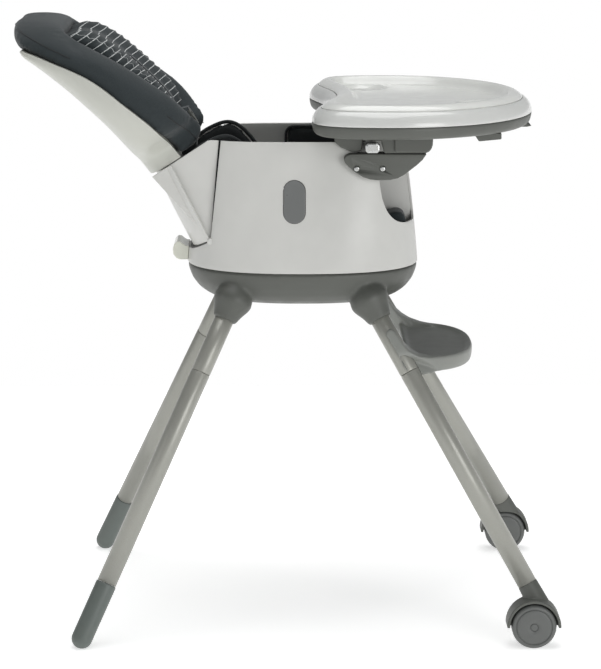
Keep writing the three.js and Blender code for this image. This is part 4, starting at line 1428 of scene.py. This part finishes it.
def strap(
    name: str,
    middle: Sequence[Vector],
    across: Vector,
    outward: Callable[[int], Vector],
    width_mm: float,
    thick_mm: float = 1.6,
) -> Object:
    """A flat strap along a line, with thicker woven edges.

    Args:
        name: the object's name.
        middle: the line under the strap, in metres.
        across: the direction of its width.
        outward: gives the direction of its face at each point.
        width_mm: its width.
        thick_mm: its thickness.

    Returns:
        The strap.
    """
    half = width_mm / 2
    section = [
        (-half, 0.3), (-half + 0.6, 0), (half - 0.6, 0), (half, 0.3), (half, thick_mm - 0.1),
        (half - 1.2, thick_mm),
    ]
    section += [
        (half - 2.4, thick_mm - 0.35), (-half + 2.4, thick_mm - 0.35), (-half + 1.2, thick_mm),
        (-half, thick_mm - 0.1),
    ]
    rings = []
    for i, p in enumerate(middle):
        face = outward(i)
        rings.append([tuple(p + across * u * MM + face * w * MM) for u, w in section])
    return lofted(name, rings)


@dataclass
class BackPadding:
    """The hooded pad on the back, the printed insert, the wing pads and the shoulder straps."""

    back: Backrest
    strap_low: float = 168.0
    insert_front: tuple = (
        (150, 62), (177, 69), (211, 68), (250, 60), (287, 50), (322, 39), (343, 29), (356, 21),
        (372, 4),
    )

    def build(self) -> None:
        """Builds every soft piece of the back."""
        self.pad()
        insert = self.insert()
        self.wing_pads()
        self.straps(insert)

    def pad(self) -> None:
        """A thick rolled rim up both sides that runs together into a hood."""
        back, form = self.back, self.back.form
        low, high = back.split + 1.0, back.pad_top + 0.5
        heights = [
            low, low + 2, low + 6, *steps(142, 376, 36), 382, 385.6, 388, *steps(392, high - 8, 5),
            high - 5, high - 2.5, high - 1,
        ]
        spread_across = [math.sin(math.pi / 2 * k) for k in steps(-1, 1, 56)]
        tuck = ((385.5, 0), (388, -11), (396, -11.5), (415, -4), (high, 8))
        front_rows, back_rows = [], []
        for h in heights:
            close = max(0.0, (h - 396) / (high + 0.5 - 396))
            start = math.sqrt(max(0.0, 1 - (1 - min(1.0, (h - low) / 16)) ** 2))
            half = back.half_width(h) - (2.0 if h < 352 else 1.0)
            seat, crown = along(back.seat, h), along(back.ridge, h) - 2
            seat_here = seat - 3 * (1 - start)
            crown_here = seat + (crown - seat) * (0.5 + 0.5 * start)
            floor = seat + 12
            blend = smoothstep(350, 382, h)
            row_front, row_back = [], []
            for s in spread_across:
                side = (1 - abs(s) ** 7) ** 0.5
                inner = smoothstep(0.5, 0.74, abs(s))
                level = floor + (crown_here - floor) * (inner + (1 - inner) * blend)
                lift = 7 * blend * (1 - close) * (1 - s * s)
                x = seat_here + (level + lift - seat_here) * side
                row_front.append(form.place_back(x, half * s, h))
                behind = seat_here + along(tuck, h) * (1 - abs(s) ** 4) * (1 if h > 386 else 0)
                row_back.append(form.place_back(min(behind, x - 1.0) + 0.6, half * s, h))
            front_rows.append(row_front)
            back_rows.append(row_back)
        rings = [front + list(reversed(rear)) for front, rear in zip(front_rows, back_rows)]
        pad = puffed(lofted("back_pad_with_hood", rings), 5.0, 4.0, 3.0)
        dress(pad, back.finishes.cloth, "fabric", "backrest", "back_pad")
        for side in Side:
            for label, h0, x0, h1, x1 in (("hood", 416, -66, 338, -17), ("foot", 192, 52, 131, 66)):
                path = [
                    Vector(form.place_back(x0 + (x1 - x0) * t, side.sign * 150, h0 + (h1 - h0) * t))
                    for t in steps(0, 1, 24)
                ]
                seam = cord_along(
                    f"back_pad_{label}_seam_{side.label}", self.onto(pad, path, side.sign), 0.9, 8
                )
                dress(seam, back.finishes.piping, "fabric", "backrest")

    def onto(self, target: Object, path: Sequence[Vector], sign: int) -> list[Vector]:
        """The points moved across the chair onto a pad's surface."""
        found = []
        inverse = target.matrix_world.inverted()
        for point in path:
            start = inverse @ Vector((point.x, sign * 0.3, point.z))
            hit, place, _, _ = target.ray_cast(start, Vector((0, -sign, 0)))
            found.append(target.matrix_world @ place if hit else point)
        return found

    def insert(self) -> Object:
        """The softer printed cushion in the pad's channel, puckered along its edges."""
        back, form = self.back, self.back.form
        rings = []
        for h in steps(self.strap_low + 4, 370, 24):
            ends = math.sqrt(max(0.05, 1 - (1 - min(1.0, (h - self.strap_low - 3) / 12)) ** 2))
            ends *= math.sqrt(max(0.05, 1 - (1 - min(1.0, (371.5 - h) / 12)) ** 2))
            rear = along(back.seat, h) + 14
            front = max(along(self.insert_front, h), rear + 16) - 3
            middle, depth = (rear + front) / 2, (front - rear) / 2 * ends
            half = (along(back.half, h) - 52) * (0.9 + 0.1 * ends)
            ring = []
            for i in range(64):
                a = 2 * math.pi * i / 64
                c, s = math.cos(a), math.sin(a)
                x, y = middle + bent(depth, c, 0.7), bent(half, s, 0.6)
                if c > 0:
                    x -= 13 * (1 - smoothstep(46, 84, abs(y))) * ends
                ring.append(form.place_back(x, y, h))
            rings.append(ring)
        cushion = puffed(lofted("printed_insert_cushion", rings), 5.0, 4.5)
        out = Vector(form.place_back(1, 0, 0)) - Vector(form.place_back(0, 0, 0))
        up = Vector(form.place_back(0, 0, 1)) - Vector(form.place_back(0, 0, 0))
        pivot = Vector(form.place_back(0, 0, 0))
        for vertex in cushion.data.vertices:
            h = (vertex.co - pivot).dot(up) / MM / MM
            edge = smoothstep(0.55, 0.85, abs(vertex.co.y / MM) / (along(back.half, h) - 50))
            vertex.co += out * (math.sin(h / 12 * 2 * math.pi + vertex.co.y * 60) * 1.6 * edge)
        return dress(
            cushion, back.finishes.printed, "patterned_fabric", "backrest", "insert_cushion"
        )

    def wing_pads(self) -> None:
        """A thin pad inside each wing, edged with thick piping."""
        back, form = self.back, self.back.form
        outline = []
        for degrees, radius in (
            (20, 128), (25, 136), (31, 143), (37, 152), (43, 156), (50, 151), (57, 141), (64, 132),
            (71, 124), (77, 112),
        ):
            a = math.radians(degrees)
            outline.append((radius * math.sin(a), min(radius * math.cos(a), 124.5)))
        outline += [(96, 14), (60, 14), (14, 14), (14, 60), (14, 120)]
        for side in Side:
            layers = []
            for depth, shrink in ((4.4, 3.0), (5.2, 0.6), (7.2, 0.0), (8.8, 0.8), (9.6, 4.0)):
                middle = (55, 70)
                ring = []
                for x, h in outline:
                    reach = math.hypot(x - middle[0], h - middle[1])
                    k = 1 - shrink / reach
                    px, ph = middle[0] + (x - middle[0]) * k, middle[1] + (h - middle[1]) * k
                    ring.append(
                        form.place_back(
                            px,
                            side.sign * (WING_PAD_Y - WING_LEAN * math.hypot(px, ph) - depth),
                            ph,
                        )
                    )
                layers.append(ring)
            pad = puffed(lofted(f"wing_pad_{side.label}_cover", layers), 3.5, 1.5, 2.0)
            dress(pad, back.finishes.lining, "fabric", "backrest", f"wing_pad_{side.label}")
            edge = []
            for degrees in steps(22, 77, 40):
                a = math.radians(degrees)
                r = along(((20, 130), (31, 145), (43, 156), (57, 143), (77, 114)), degrees)
                x, h = r * math.sin(a), min(r * math.cos(a), 125)
                edge.append(
                    Vector(form.place_back(x, side.sign * (WING_PAD_Y - WING_LEAN * r - 6.6), h))
                )
            piping = cord_along(f"wing_pad_piping_{side.label}", edge, 3.0, 12)
            dress(piping, back.finishes.piping, "fabric", "backrest")

    def straps(self, cushion: Object) -> None:
        """The shoulder straps lie on the insert and end in a plastic tongue."""
        form = self.back.form
        origin = Vector(form.place_back(0, 0, 0))
        out = (Vector(form.place_back(1, 0, 0)) - origin) / MM
        up = (Vector(form.place_back(0, 0, 1)) - origin) / MM
        for side in Side:
            line = []
            for h in steps(self.strap_low, 288, 20):
                y = side.sign * STRAP_Y
                tops = []
                for dy in (-11, -5, 0, 5, 11):
                    start = Vector(form.place_back(150, y + dy, max(h, self.strap_low + 8)))
                    hit, place, _, _ = cushion.ray_cast(
                        cushion.matrix_world.inverted() @ start, -out
                    )
                    if hit:
                        tops.append((place - origin).dot(out) / MM)
                x = sorted(tops)[len(tops) // 2] if tops else along(self.insert_front, h)
                line.append(Vector(form.place_back(x - 0.4, y, h)))
            last = line[-1] - out * 9 * MM + up * 3 * MM
            line.append(line[-1] - out * 3 * MM + up * 2.4 * MM)
            line.append(last)
            band = strap(
                f"shoulder_webbing_{side.label}", line, Vector((0, 1, 0)), lambda i: out,
                STRAP_WIDTH,
            )
            dress(
                band, self.back.finishes.webbing, "webbing", "backrest",
                f"shoulder_strap_{side.label}",
            )
            self.tongue(side, (line[0] - origin).dot(out) / MM)

    def tongue(self, side: Side, x: float) -> None:
        """The moulded tongue at a shoulder strap's end, with its slot and rounded nose."""
        form = self.back.form
        low, high = self.strap_low - 24, self.strap_low + 1.5
        y0 = side.sign * STRAP_Y
        outer = [
            (-15, high), (15, high), (15, high - 12), (11, high - 15), (8, low + 3), (5, low),
            (-5, low), (-8, low + 3), (-11, high - 15), (-15, high - 12),
        ]
        rings = [[form.place_back(x + d, y0 + u, h) for u, h in outer] for d in (-1.4, 2.4)]
        body = lofted(f"strap_end_{side.label}", rings)
        slot = ((-10, high - 4), (10, high - 4), (10, high - 9), (-10, high - 9))
        hole = [[form.place_back(x + d, y0 + u, h) for u, h in slot] for d in (-4, 6)]
        body = rounded(carved(body, lofted("hole", hole)), 0.8, 3, 30)
        dress(
            body, self.back.finishes.dark, "dark_plastic", "backrest", f"strap_tongue_{side.label}"
        )


@dataclass
class SeatPadding:
    """The cushion on the seat's floor, the side linings and the lower harness."""

    form: SeatForm
    finishes: Finishes
    low: float = 572.0
    top: float = 597.5

    def build(self) -> None:
        """Builds the cushion, the linings and the harness."""
        cushion = self.cushion()
        self.linings()
        self.harness(cushion)

    def cushion(self) -> Object:
        """A flat-bottomed cushion whose front rolls over the edge on both sides of the post."""
        form = self.form
        rings = []
        for grow, z in (
            (-6, self.low), (-1, self.low + 3), (2, self.low + 9), (2, self.top - 9),
            (-3, self.top - 3), (-10, self.top - 0.6),
        ):
            ring = []
            for i in range(64):
                a = 2 * math.pi * i / 64
                c, s = math.cos(a), math.sin(a)
                ring.append(form.place(bent(108 + grow, c, 0.5), bent(86 + grow, s, 0.5), z))
            rings.append(ring)
        parts = [lofted("seat", rings)]
        for side in Side:
            roll = [
                (86, self.low), (144, self.low), (152, 580), (155.5, 594), (155.5, 607),
                (150, 612.5), (141, 613), (130, 610), (112, 601), (86, self.top - 1),
            ]
            parts.append(rounded(side_prism("roll", roll, side, 38, 88, form.place), 5, 3))
        cushion = puffed(joined("seat_cushion_cover", parts), 4.5, 3.0, 3.0)
        for vertex in cushion.data.vertices:
            vertex.co.z = max(vertex.co.z, (self.low - 0.4) * MM)
        return dress(cushion, self.finishes.cloth, "fabric", "chair", "seat_cushion")

    def linings(self) -> None:
        """A padded black panel against each side wall, with piping along its top."""
        form = self.form
        for side in Side:
            layers = []
            places = self.lining_outline()
            for depth, shrink in ((4.6, 2.0), (5.2, 0.4), (7.2, 0.0), (8.8, 0.6), (9.6, 3.0)):
                ring = []
                for x, z in places:
                    px, pz = 36 + (x - 36) * (1 - shrink / 62), 661 + (z - 661) * (1 - shrink / 55)
                    ring.append(form.place(px, side.sign * (form.wall_y(px, pz) - depth), pz))
                layers.append(ring)
            panel = puffed(lofted(f"side_lining_{side.label}", layers), 3.5, 1.2, 2.0)
            dress(panel, self.finishes.lining, "coated_fabric", "chair", f"side_pad_{side.label}")
            path = []
            for x, z in places[8:44]:
                path.append(Vector(form.place(x, side.sign * (form.wall_y(x, z) - 7.0), z)))
            piping = cord_along(f"side_lining_piping_{side.label}", path, 2.0, 10)
            dress(piping, self.finishes.piping, "coated_fabric", "chair")

    def lining_outline(self) -> list[tuple[float, float]]:
        """The panel's outline in side view, with rounded corners."""
        x0, x1, z0, z1, r = -25.0, 97.0, 607.0, 716.0, 12.0
        corners = (
            (x0 + r, z0 + r, 180), (x0 + r, z1 - r, 180), (x1 - r, z1 - r, 90), (x1 - r, z0 + r, 0)
        )
        points = [
            (x0 + r + r * math.cos(math.radians(a)), z0 + r + r * math.sin(math.radians(a)))
            for a in steps(270, 180, 5)
        ]
        points += [(x0, z) for z in steps(z0 + 2 * r, z1 - 2 * r, 6)]
        for cx, cz, first in corners[1:]:
            points += [
                (cx + r * math.cos(math.radians(a)), cz + r * math.sin(math.radians(a)))
                for a in steps(first, first - 90, 5)
            ]
            if first == 180:
                points += [(x, z1) for x in steps(x0 + 2 * r, x1 - 2 * r, 14)]
            if first == 90:
                points += [(x1, z) for z in steps(z1 - 2 * r, z0 + 2 * r, 6)]
        points += [(x, z0) for x in steps(x1 - 2 * r, x0 + 2 * r, 12)]
        return points

    def top_of(self, cushion: Object, x: float, y: float) -> float:
        """The cushion's height in millimetres under a place on the chair."""
        start = Vector(self.form.place(x, y, 660))
        hit, place, _, _ = cushion.ray_cast(
            cushion.matrix_world.inverted() @ start, Vector((0, 0, -1))
        )
        return place.z / MM if hit else self.top

    def harness(self, cushion: Object) -> None:
        """The waist straps, the crotch strap and the buckle with its button."""
        form, up = self.form, Vector((0, 0, 1))
        for side in Side:
            line = []
            for y in steps(23, 84, 16):
                z = max(self.top_of(cushion, x, side.sign * y) for x in (-32, -21, -11)) + 0.4
                line.append(Vector(form.place(-21.5, side.sign * y, z)))
            band = strap(
                f"waist_webbing_{side.label}", line, Vector((1, 0, 0)), lambda i: up, STRAP_WIDTH
            )
            dress(band, self.finishes.webbing, "webbing", "chair", f"waist_strap_{side.label}")
        line = []
        for x in steps(22, 86, 16):
            z = max(self.top_of(cushion, x, y) for y in (-11, 0, 11)) + 0.4
            line.append(Vector(form.place(x, 0, z)))
        band = strap("crotch_webbing", line, Vector((0, 1, 0)), lambda i: up, STRAP_WIDTH)
        dress(band, self.finishes.webbing, "webbing", "chair", "crotch_strap")
        base = 603.0
        rings = []
        for grow, z in (
            (-2.5, base), (0, base + 2), (0, base + 9), (-1.5, base + 12.5), (-4, base + 14.3)
        ):
            ring = []
            for i in range(48):
                a = 2 * math.pi * i / 48
                c, s = math.cos(a), math.sin(a)
                ring.append(form.place(bent(22 + grow, c, 0.55), bent(21 + grow, s, 0.55), z))
            rings.append(ring)
        well = box_mesh("well", (-8.8, 8.8), (-8.8, 8.8), (base + 8.5, base + 30), form.place)
        buckle = rounded(carved(lofted("harness_buckle_body", rings), well), 0.6, 2, 40)
        dress(buckle, self.finishes.dark, "dark_plastic", "chair", "harness_buckle")
        button = rounded(
            box_mesh(
                "harness_buckle_button", (-8.2, 8.2), (-8.2, 8.2), (base + 11.2, base + 15.8),
                form.place,
            ),
            1.6,
            4,
        )
        dress(button, self.finishes.button, "button_plastic", "buckle_button", "buckle_button")


# ------------------------------------------------------------------ armrests and tray


@dataclass
class Armrests:
    """The dark brackets that carry the tray, with their screws, latches and levers."""

    form: SeatForm
    finishes: Finishes
    out_y: float = 150.0
    top_z: float = 706.0
    screw_z: float = 684.0
    screws: tuple = (("rear", 78.0), ("front", 116.0))

    def build(self) -> None:
        """Builds both sides."""
        for side in Side:
            self.bracket(side)
            self.latch(side)
            self.lever(side)
            self.fairing(side)

    def bracket(self, side: Side) -> None:
        """A leaf-shaped bracket on the side wall."""
        form = self.form
        outline = [
            (59.5, 700), (59.2, 696.5), (61, 692.5), (66, 687), (76, 678.5), (88, 671.5),
            (98, 668.2), (108, 667.2),
        ]
        outline += [
            (127, 667.6), (138, 670), (148, 675.5), (157, 682.5), (166, 689.5), (174, 697),
            (180, self.top_z - 0.4),
        ]
        outline += [
            (120, self.top_z - 0.2), (80, self.top_z), (68, self.top_z - 0.5),
            (62.5, self.top_z - 2.5),
        ]
        body = rounded(
            side_prism(f"bracket_{side.label}", outline, side, 113, self.out_y, form.place),
            2.4,
            4,
            25,
        )
        applied(body)
        cutter = [form.ring(z, -0.5, 120) for z in (640, 680, form.rim_z + 1)]
        holes = []
        for _, x in self.screws:
            face = Vector(form.place(x, side.sign * (self.out_y + 3), self.screw_z))
            inside = Vector(form.place(x, 0, self.screw_z))
            bore = [(4.7, 0), (4.7, 6.6), (2.2, 7), (2.2, 14)]
            holes.append(turned("hole", face, inside, bore, 32))
        body = carved(body, lofted("seat", cutter), *holes)
        body.data.set_sharp_from_angle(angle=math.radians(35))
        dress(body, self.finishes.dark, "dark_plastic", "chair", f"armrest_{side.label}")
        for label, x in self.screws:
            self.screw(side, label, x)

    def screw(self, side: Side, label: str, x: float) -> None:
        """A pan-head screw with a cross recess."""
        form = self.form
        start = Vector(form.place(x, side.sign * (self.out_y + 0.9), self.screw_z))
        end = Vector(form.place(x, 0, self.screw_z))
        profile = [
            (0, 0), (2.0, 0.1), (3.3, 0.5), (4.1, 1.3), (4.2, 2.2), (4.1, 3.2), (2, 3.3), (2, 10)
        ]
        head = turned(f"bracket_screw_{side.label}_{label}", start, end, profile, 40)
        depth = sorted((side.sign * (self.out_y + 2), side.sign * (self.out_y - 0.9)))
        flat = box_mesh(
            "slot", (x - 2.4, x + 2.4), depth, (self.screw_z - 0.55, self.screw_z + 0.55),
            form.place,
        )
        tall = box_mesh(
            "slot", (x - 0.55, x + 0.55), depth, (self.screw_z - 2.4, self.screw_z + 2.4),
            form.place,
        )
        carved(head, flat, tall)
        head.data.set_sharp_from_angle(angle=math.radians(40))
        dress(head, self.finishes.steel, "steel", "chair", f"armrest_screw_{side.label}_{label}")

    def latch(self, side: Side) -> None:
        """The block under the tray that slides along the bracket."""
        form = self.form
        low, top = self.top_z + 0.6, 736.5
        main = [
            (118, low), (178, low), (184, low + 2.5), (187.5, low + 8), (188.5, 722), (190, 731),
            (190.5, top), (87, top), (87, 725), (113.5, 725), (115.5, 716),
        ]
        block = rounded(
            side_prism("block", main, side, 117, self.out_y - 0.6, form.place), 1.8, 4, 25
        )
        raised = [
            (133, 711.5), (136, 708.5), (181, 708.5), (186, 712), (188.5, 719), (189.5, 735.5),
            (133, 735.5),
        ]
        step = rounded(
            side_prism("step", raised, side, 140, self.out_y + 3.5, form.place), 2.2, 4, 25
        )
        latch = joined(f"tray_latch_block_{side.label}", [block, step])
        slot_y = sorted((side.sign * 110, side.sign * 139))
        latch = carved(latch, box_mesh("slot", (70, 112.5), slot_y, (700, 728), form.place))
        latch.data.set_sharp_from_angle(angle=math.radians(35))
        dress(latch, self.finishes.dark, "dark_plastic", "tray", f"tray_latch_{side.label}")

    def lever(self, side: Side) -> None:
        """The bright faceted lever that frees the tray."""
        form = self.form
        s = side.sign
        sections = [
            (
                s * 133, 91.5, 109.5, 709.5, 720.5
            ), (s * 149, 91.5, 109.5, 709.5, 720.5), (s * 151, 89.6, 111.6, 707.2, 722.8),
            (s * 156.4, 90.4, 110.8, 708.0, 722.4), (s * 157, 92.5, 108.5, 710.5, 720.5),
        ]
        rings = []
        for y, x0, x1, z0, z1 in sections:
            c = 3.2
            ring = [
                (x0 + c, z0), (x1 - c, z0), (x1, z0 + c), (x1, z1 - c), (x1 - c, z1), (x0 + c, z1),
                (x0, z1 - c), (x0, z0 + c),
            ]
            rings.append([form.place(x, y, z) for x, z in ring])
        lever = rounded(lofted(f"tray_lever_{side.label}", rings), 0.5, 2, 15)
        lever.data.polygons.foreach_set("use_smooth", [False] * len(lever.data.polygons))
        dress(
            lever, self.finishes.steel, "steel", f"tray_lever_{side.label}",
            f"tray_release_lever_{side.label}",
        )

    def fairing(self, side: Side) -> None:
        """The latch's rear guide, above the bracket's rear end."""
        outline = [
            (44, 736), (88, 736), (86, 714), (84, 708.5), (76, 707), (68, 708.5), (54, 715),
            (46, 722),
        ]
        guide = side_prism(f"tray_guide_{side.label}", outline, side, 129, 141, self.form.place)
        dress(rounded(guide, 2.0, 4, 25), self.finishes.dark, "dark_plastic", "tray")


@dataclass
class Tray:
    """The kidney-shaped tray: dark underside, polished rim and lift-off insert."""

    form: SeatForm
    finishes: Finishes
    bottom_z: float = 737.0
    seam_z: float = 755.0
    front_x: float = 344.0
    mid_x: float = 130.0
    half_width: float = 255.0
    rear_x: float = 16.0
    notch_x: float = 37.0

    def edge(self, count: int = 180) -> list[Vector]:
        """The tray's outline, evenly spaced, from the front round by the left."""
        half = [
            Vector(
                (
                    self.mid_x + (self.front_x - self.mid_x) * math.cos(a),
                    self.half_width * math.sin(a),
                )
            )
            for a in steps(0, math.pi / 2, 120)
        ]
        r = self.rear_x
        w = self.half_width
        for p in (
            ((self.mid_x, w), (70, w), (14, 246), (r - 4, 178)),
            ((r - 4, 178), (r - 6, 130), (self.notch_x, 80), (self.notch_x, 0)),
        ):
            for t in steps(0, 1, 120)[1:]:
                u = 1 - t
                shares = (u**3, 3 * u * u * t, 3 * u * t * t, t**3)
                half.append(sum((Vector(q) * k for q, k in zip(p, shares)), Vector((0, 0))))
        lengths = np.cumsum([0.0, *[(b - a).length for a, b in zip(half, half[1:])]])
        at = np.linspace(0, lengths[-1], count // 2 + 1)
        xs = np.interp(at, lengths, [p.x for p in half])
        ys = np.interp(at, lengths, [p.y for p in half])
        points = [Vector((x, y)) for x, y in zip(xs, ys)]
        return points + [Vector((p.x, -p.y)) for p in reversed(points[1:-1])]

    def ring(self, inset: float, z: float) -> list[Point]:
        """The outline moved in by an inset, at a height."""
        points = self.edge()
        count = len(points)
        ring = []
        for i, p in enumerate(points):
            run = (points[(i + 1) % count] - points[i - 1]).normalized()
            ring.append(self.form.place(p.x - run.y * inset, p.y + run.x * inset, z))
        return ring

    def build(self) -> None:
        """Builds the three layers and the fittings underneath."""
        low, seam = self.bottom_z, self.seam_z
        base = [
            (40, low + 1.2), (22, low), (15, low), (
                9.5, low + 0.8
            ), (5.5, low + 2.6), (3, low + 5.5), (1.6, low + 9), (0.6, low + 13.5),
            (
                0.3, seam - 0.8
            ), (0.9, seam - 0.1), (3, seam - 0.1), (5, low + 12), (9, low + 6), (40, low + 4.4),
        ]
        under = lofted("tray_underside", [self.ring(i, z) for i, z in base])
        under.data.set_sharp_from_angle(angle=math.radians(60))
        dress(under, self.finishes.dark, "dark_plastic", "tray", "tray_base")
        rim = [
            (46, seam + 9), (20, seam + 9), (8, seam + 7), (4, seam + 4), (
                2.6, seam + 0.5
            ), (0.9, seam + 0.5), (0.3, seam + 1.0),
            (0.1, seam + 2.2), (0.5, seam + 5.5), (1.5, seam + 9), (
                3.2, seam + 12.6
            ), (5.4, seam + 15.8), (8, seam + 18.6), (10.6, seam + 20.6),
            (12.6, seam + 21.6), (
                13.5, seam + 21.6
            ), (14.0, seam + 20.8), (15, seam + 17), (19, seam + 13), (46, seam + 12),
        ]
        top = lofted("tray_rim", [self.ring(i, z) for i, z in rim])
        top.data.set_sharp_from_angle(angle=math.radians(60))
        dress(top, self.finishes.tray, "tray_plastic", "tray", "tray_top")
        self.insert()
        self.fittings()

    def insert(self) -> None:
        """The lift-off insert: a soft rim round a dished floor with three round wells."""
        form, seam = self.form, self.seam_z
        rim = [
            (46, seam + 12.7), (20, seam + 14), (
                16.6, seam + 17.6
            ), (14.9, seam + 21.4), (14.5, seam + 22.4), (15.1, seam + 23.4),
            (17, seam + 25.2), (20, seam + 27.4), (
                23.5, seam + 29.2
            ), (27, seam + 30.2), (30.5, seam + 30.3), (33.5, seam + 29.2),
            (
                36.5, seam + 26.6
            ), (39, seam + 23.2), (41.5, seam + 20.2), (44.5, seam + 18.2), (48.5, seam + 17.2),
        ]
        rings = [self.ring(i, z) for i, z in rim]
        outer = [Vector(p) for p in rings[-1]]
        centre = Vector(form.place(185, 0, seam + 17))
        places = ((96, -168, 36.0, 5.0), (96, 168, 36.0, 5.0), (262, -62, 34.0, 4.0))
        wells = [(Vector(form.place(x, y, 0)), radius, depth) for x, y, radius, depth in places]

        def floor(p: Vector, share: float) -> Point:
            z = p.z - (1 - share) ** 0.5 * 0.8 * MM
            for middle, radius, depth in wells:
                reach = math.hypot(p.x - middle.x, p.y - middle.y) / MM
                z -= depth * (1 - smoothstep(radius - 7, radius, reach)) * MM
                z += 1.1 * math.exp(-((reach - radius - 3) / 2.6) ** 2) * MM
            return (p.x, p.y, z)

        for share in [1 - 0.5 * k for k in steps(0.02, 1, 34)] + [
            0.5 - 0.5 * k for k in steps(0.04, 1, 22)
        ]:
            share = max(share, 0.012)
            rings.append([floor(centre + (p - centre) * share, share) for p in outer])
        insert = lofted("tray_insert_dish", rings)
        dress(insert, self.finishes.insert, "insert_plastic", "tray_insert", "tray_insert")

    def fittings(self) -> None:
        """Two hooks under the tray and a grip under its front edge."""
        form, low = self.form, self.bottom_z
        for side in Side:
            hook = [
                (246, low - 0.4), (249, low - 3), (255, low - 11.6), (257, low - 11.8),
                (287, low - 9), (288, low - 8), (288, low - 0.4),
            ]
            foot = rounded(
                side_prism(f"tray_hook_{side.label}", hook, side, 128, 158, form.place), 1.2, 3, 25
            )
            dress(foot, self.finishes.dark, "dark_plastic", "tray", f"tray_foot_{side.label}")
        nose = [
            (302, low - 0.4), (303, low - 4.4), (304, low - 5), (336, low - 5), (342.5, low - 3.4),
            (341, low - 1.6), (334, low - 0.4),
        ]
        grip = rounded(prism("tray_pull", nose, -30, 30, form.place), 0.9, 3, 25)
        dress(grip, self.finishes.dark, "dark_plastic", "tray", "tray_front_grip")


# ------------------------------------------------------------------ studio


@dataclass
class Studio:
    """A plain pale floor, soft lights and the camera."""

    form: SeatForm
    lens: float = 151.6
    camera_place: Point = (-31.0, -4230.6, 1203.5)
    pitch: float = 0.1853
    yaw: float = 0.0066

    def build(self) -> None:
        """Sets the stage."""
        self.floor()
        self.lights()
        self.camera()

    def floor(self) -> None:
        """A plain white floor, whose own weak glow keeps it near white everywhere."""
        rings = [[(x, y, 0.0) for y in (-1.8, 1.6)] for x in (-1.7, 1.7)]
        floor = lofted("studio_floor", rings, closed=False, caps=False)
        material, shader, place = start_material("studio paper, matt white")
        shade = mixed(material, noise(material, place, 900.0), linear("#f4f4f3"), linear("#f8f8f7"))
        feed(material, shader, {"Base Color": shade, "Roughness": 0.9})
        feed(material, shader, {"Emission Color": (1.0, 1.0, 1.0, 1.0), "Emission Strength": 0.56})
        floor.data.materials.append(material)

    def light(self, name: str, place: Point, aim: Point, size: float, power: float) -> None:
        """A square soft box aimed at a point."""
        data = bpy.data.lights.new(name, "AREA")
        data.shape = "SQUARE"
        data.size = size
        data.energy = power
        lamp = bpy.data.objects.new(name, data)
        lamp.location = place
        lamp.rotation_euler = (Vector(aim) - Vector(place)).to_track_quat("-Z", "Y").to_euler()
        bpy.context.scene.collection.objects.link(lamp)

    def lights(self) -> None:
        """A broad top light over the white floor, and a soft box from each side in front."""
        self.light("top soft box", (0.1, 0.1, 3.2), (0.0, 0.0, 0.0), 2.4, 56)
        self.light("key soft box", (2.2, -3.2, 1.1), (0.0, 0.0, 0.6), 1.8, 40)
        self.light("fill soft box", (-2.8, -1.6, 0.9), (0.0, 0.0, 0.6), 1.6, 4)
        world = bpy.data.worlds.new("pale studio")
        world.use_nodes = True
        tree = world.node_tree
        place = tree.nodes.new("ShaderNodeTexCoord")
        split = tree.nodes.new("ShaderNodeSeparateXYZ")
        ramp = tree.nodes.new("ShaderNodeValToRGB")
        tree.links.new(place.outputs["Generated"], split.inputs[0])
        tree.links.new(split.outputs["Z"], ramp.inputs["Fac"])
        ramp.color_ramp.elements[0].position = 0.0
        ramp.color_ramp.elements[0].color = (1.0, 1.0, 1.0, 1.0)
        ramp.color_ramp.elements[1].position = 0.03
        ramp.color_ramp.elements[1].color = (0.52, 0.525, 0.53, 1.0)
        ramp.color_ramp.elements.new(0.5).color = (0.17, 0.175, 0.18, 1.0)
        tree.links.new(ramp.outputs["Color"], tree.nodes["Background"].inputs["Color"])
        tree.nodes["Background"].inputs["Strength"].default_value = 1.0
        bpy.context.scene.world = world
        bpy.context.scene.view_settings.view_transform = "Standard"

    def camera(self) -> None:
        """A long lens, a little above the tray, looking slightly down."""
        data = bpy.data.cameras.new("camera")
        data.lens = self.lens
        data.sensor_fit = "VERTICAL"
        data.sensor_width = 36.0
        data.sensor_height = 36.0
        data.clip_end = 60.0
        camera = bpy.data.objects.new("camera", data)
        camera.location = self.form.place(*self.camera_place)
        forward = Vector((
            math.sin(self.yaw) * math.cos(
                self.pitch
            ), math.cos(self.yaw) * math.cos(self.pitch), -math.sin(self.pitch)
        ))
        camera.rotation_euler = forward.to_track_quat("-Z", "Y").to_euler()
        bpy.context.scene.collection.objects.link(camera)
        bpy.context.scene.camera = camera


def main() -> None:
    """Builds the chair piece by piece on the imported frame."""
    logging.basicConfig(level=logging.INFO, format="%(message)s")
    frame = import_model()
    low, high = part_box("seat_shell")
    shift = (low[0] + high[0]) / 2 / MM
    form = SeatForm(shift=shift)
    recline = next(j for j in frame["joints"] if j["name"] == "back_recline")
    form.recline = math.radians(max(recline["range_deg"]))
    Studio(form).build()
    finishes = Finishes(math.degrees(form.recline))
    legs = Legs(form, finishes)
    legs.build()
    Casters(legs).build()
    base = Base(form, finishes, legs)
    base.hub()
    base.footrest()
    SeatShell(form, finishes).build()
    backrest = Backrest(form, finishes)
    backrest.build()
    BackPadding(backrest).build()
    SeatPadding(form, finishes).build()
    Armrests(form, finishes).build()
    Tray(form, finishes).build()
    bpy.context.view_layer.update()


if __name__ == "__main__":
    main()
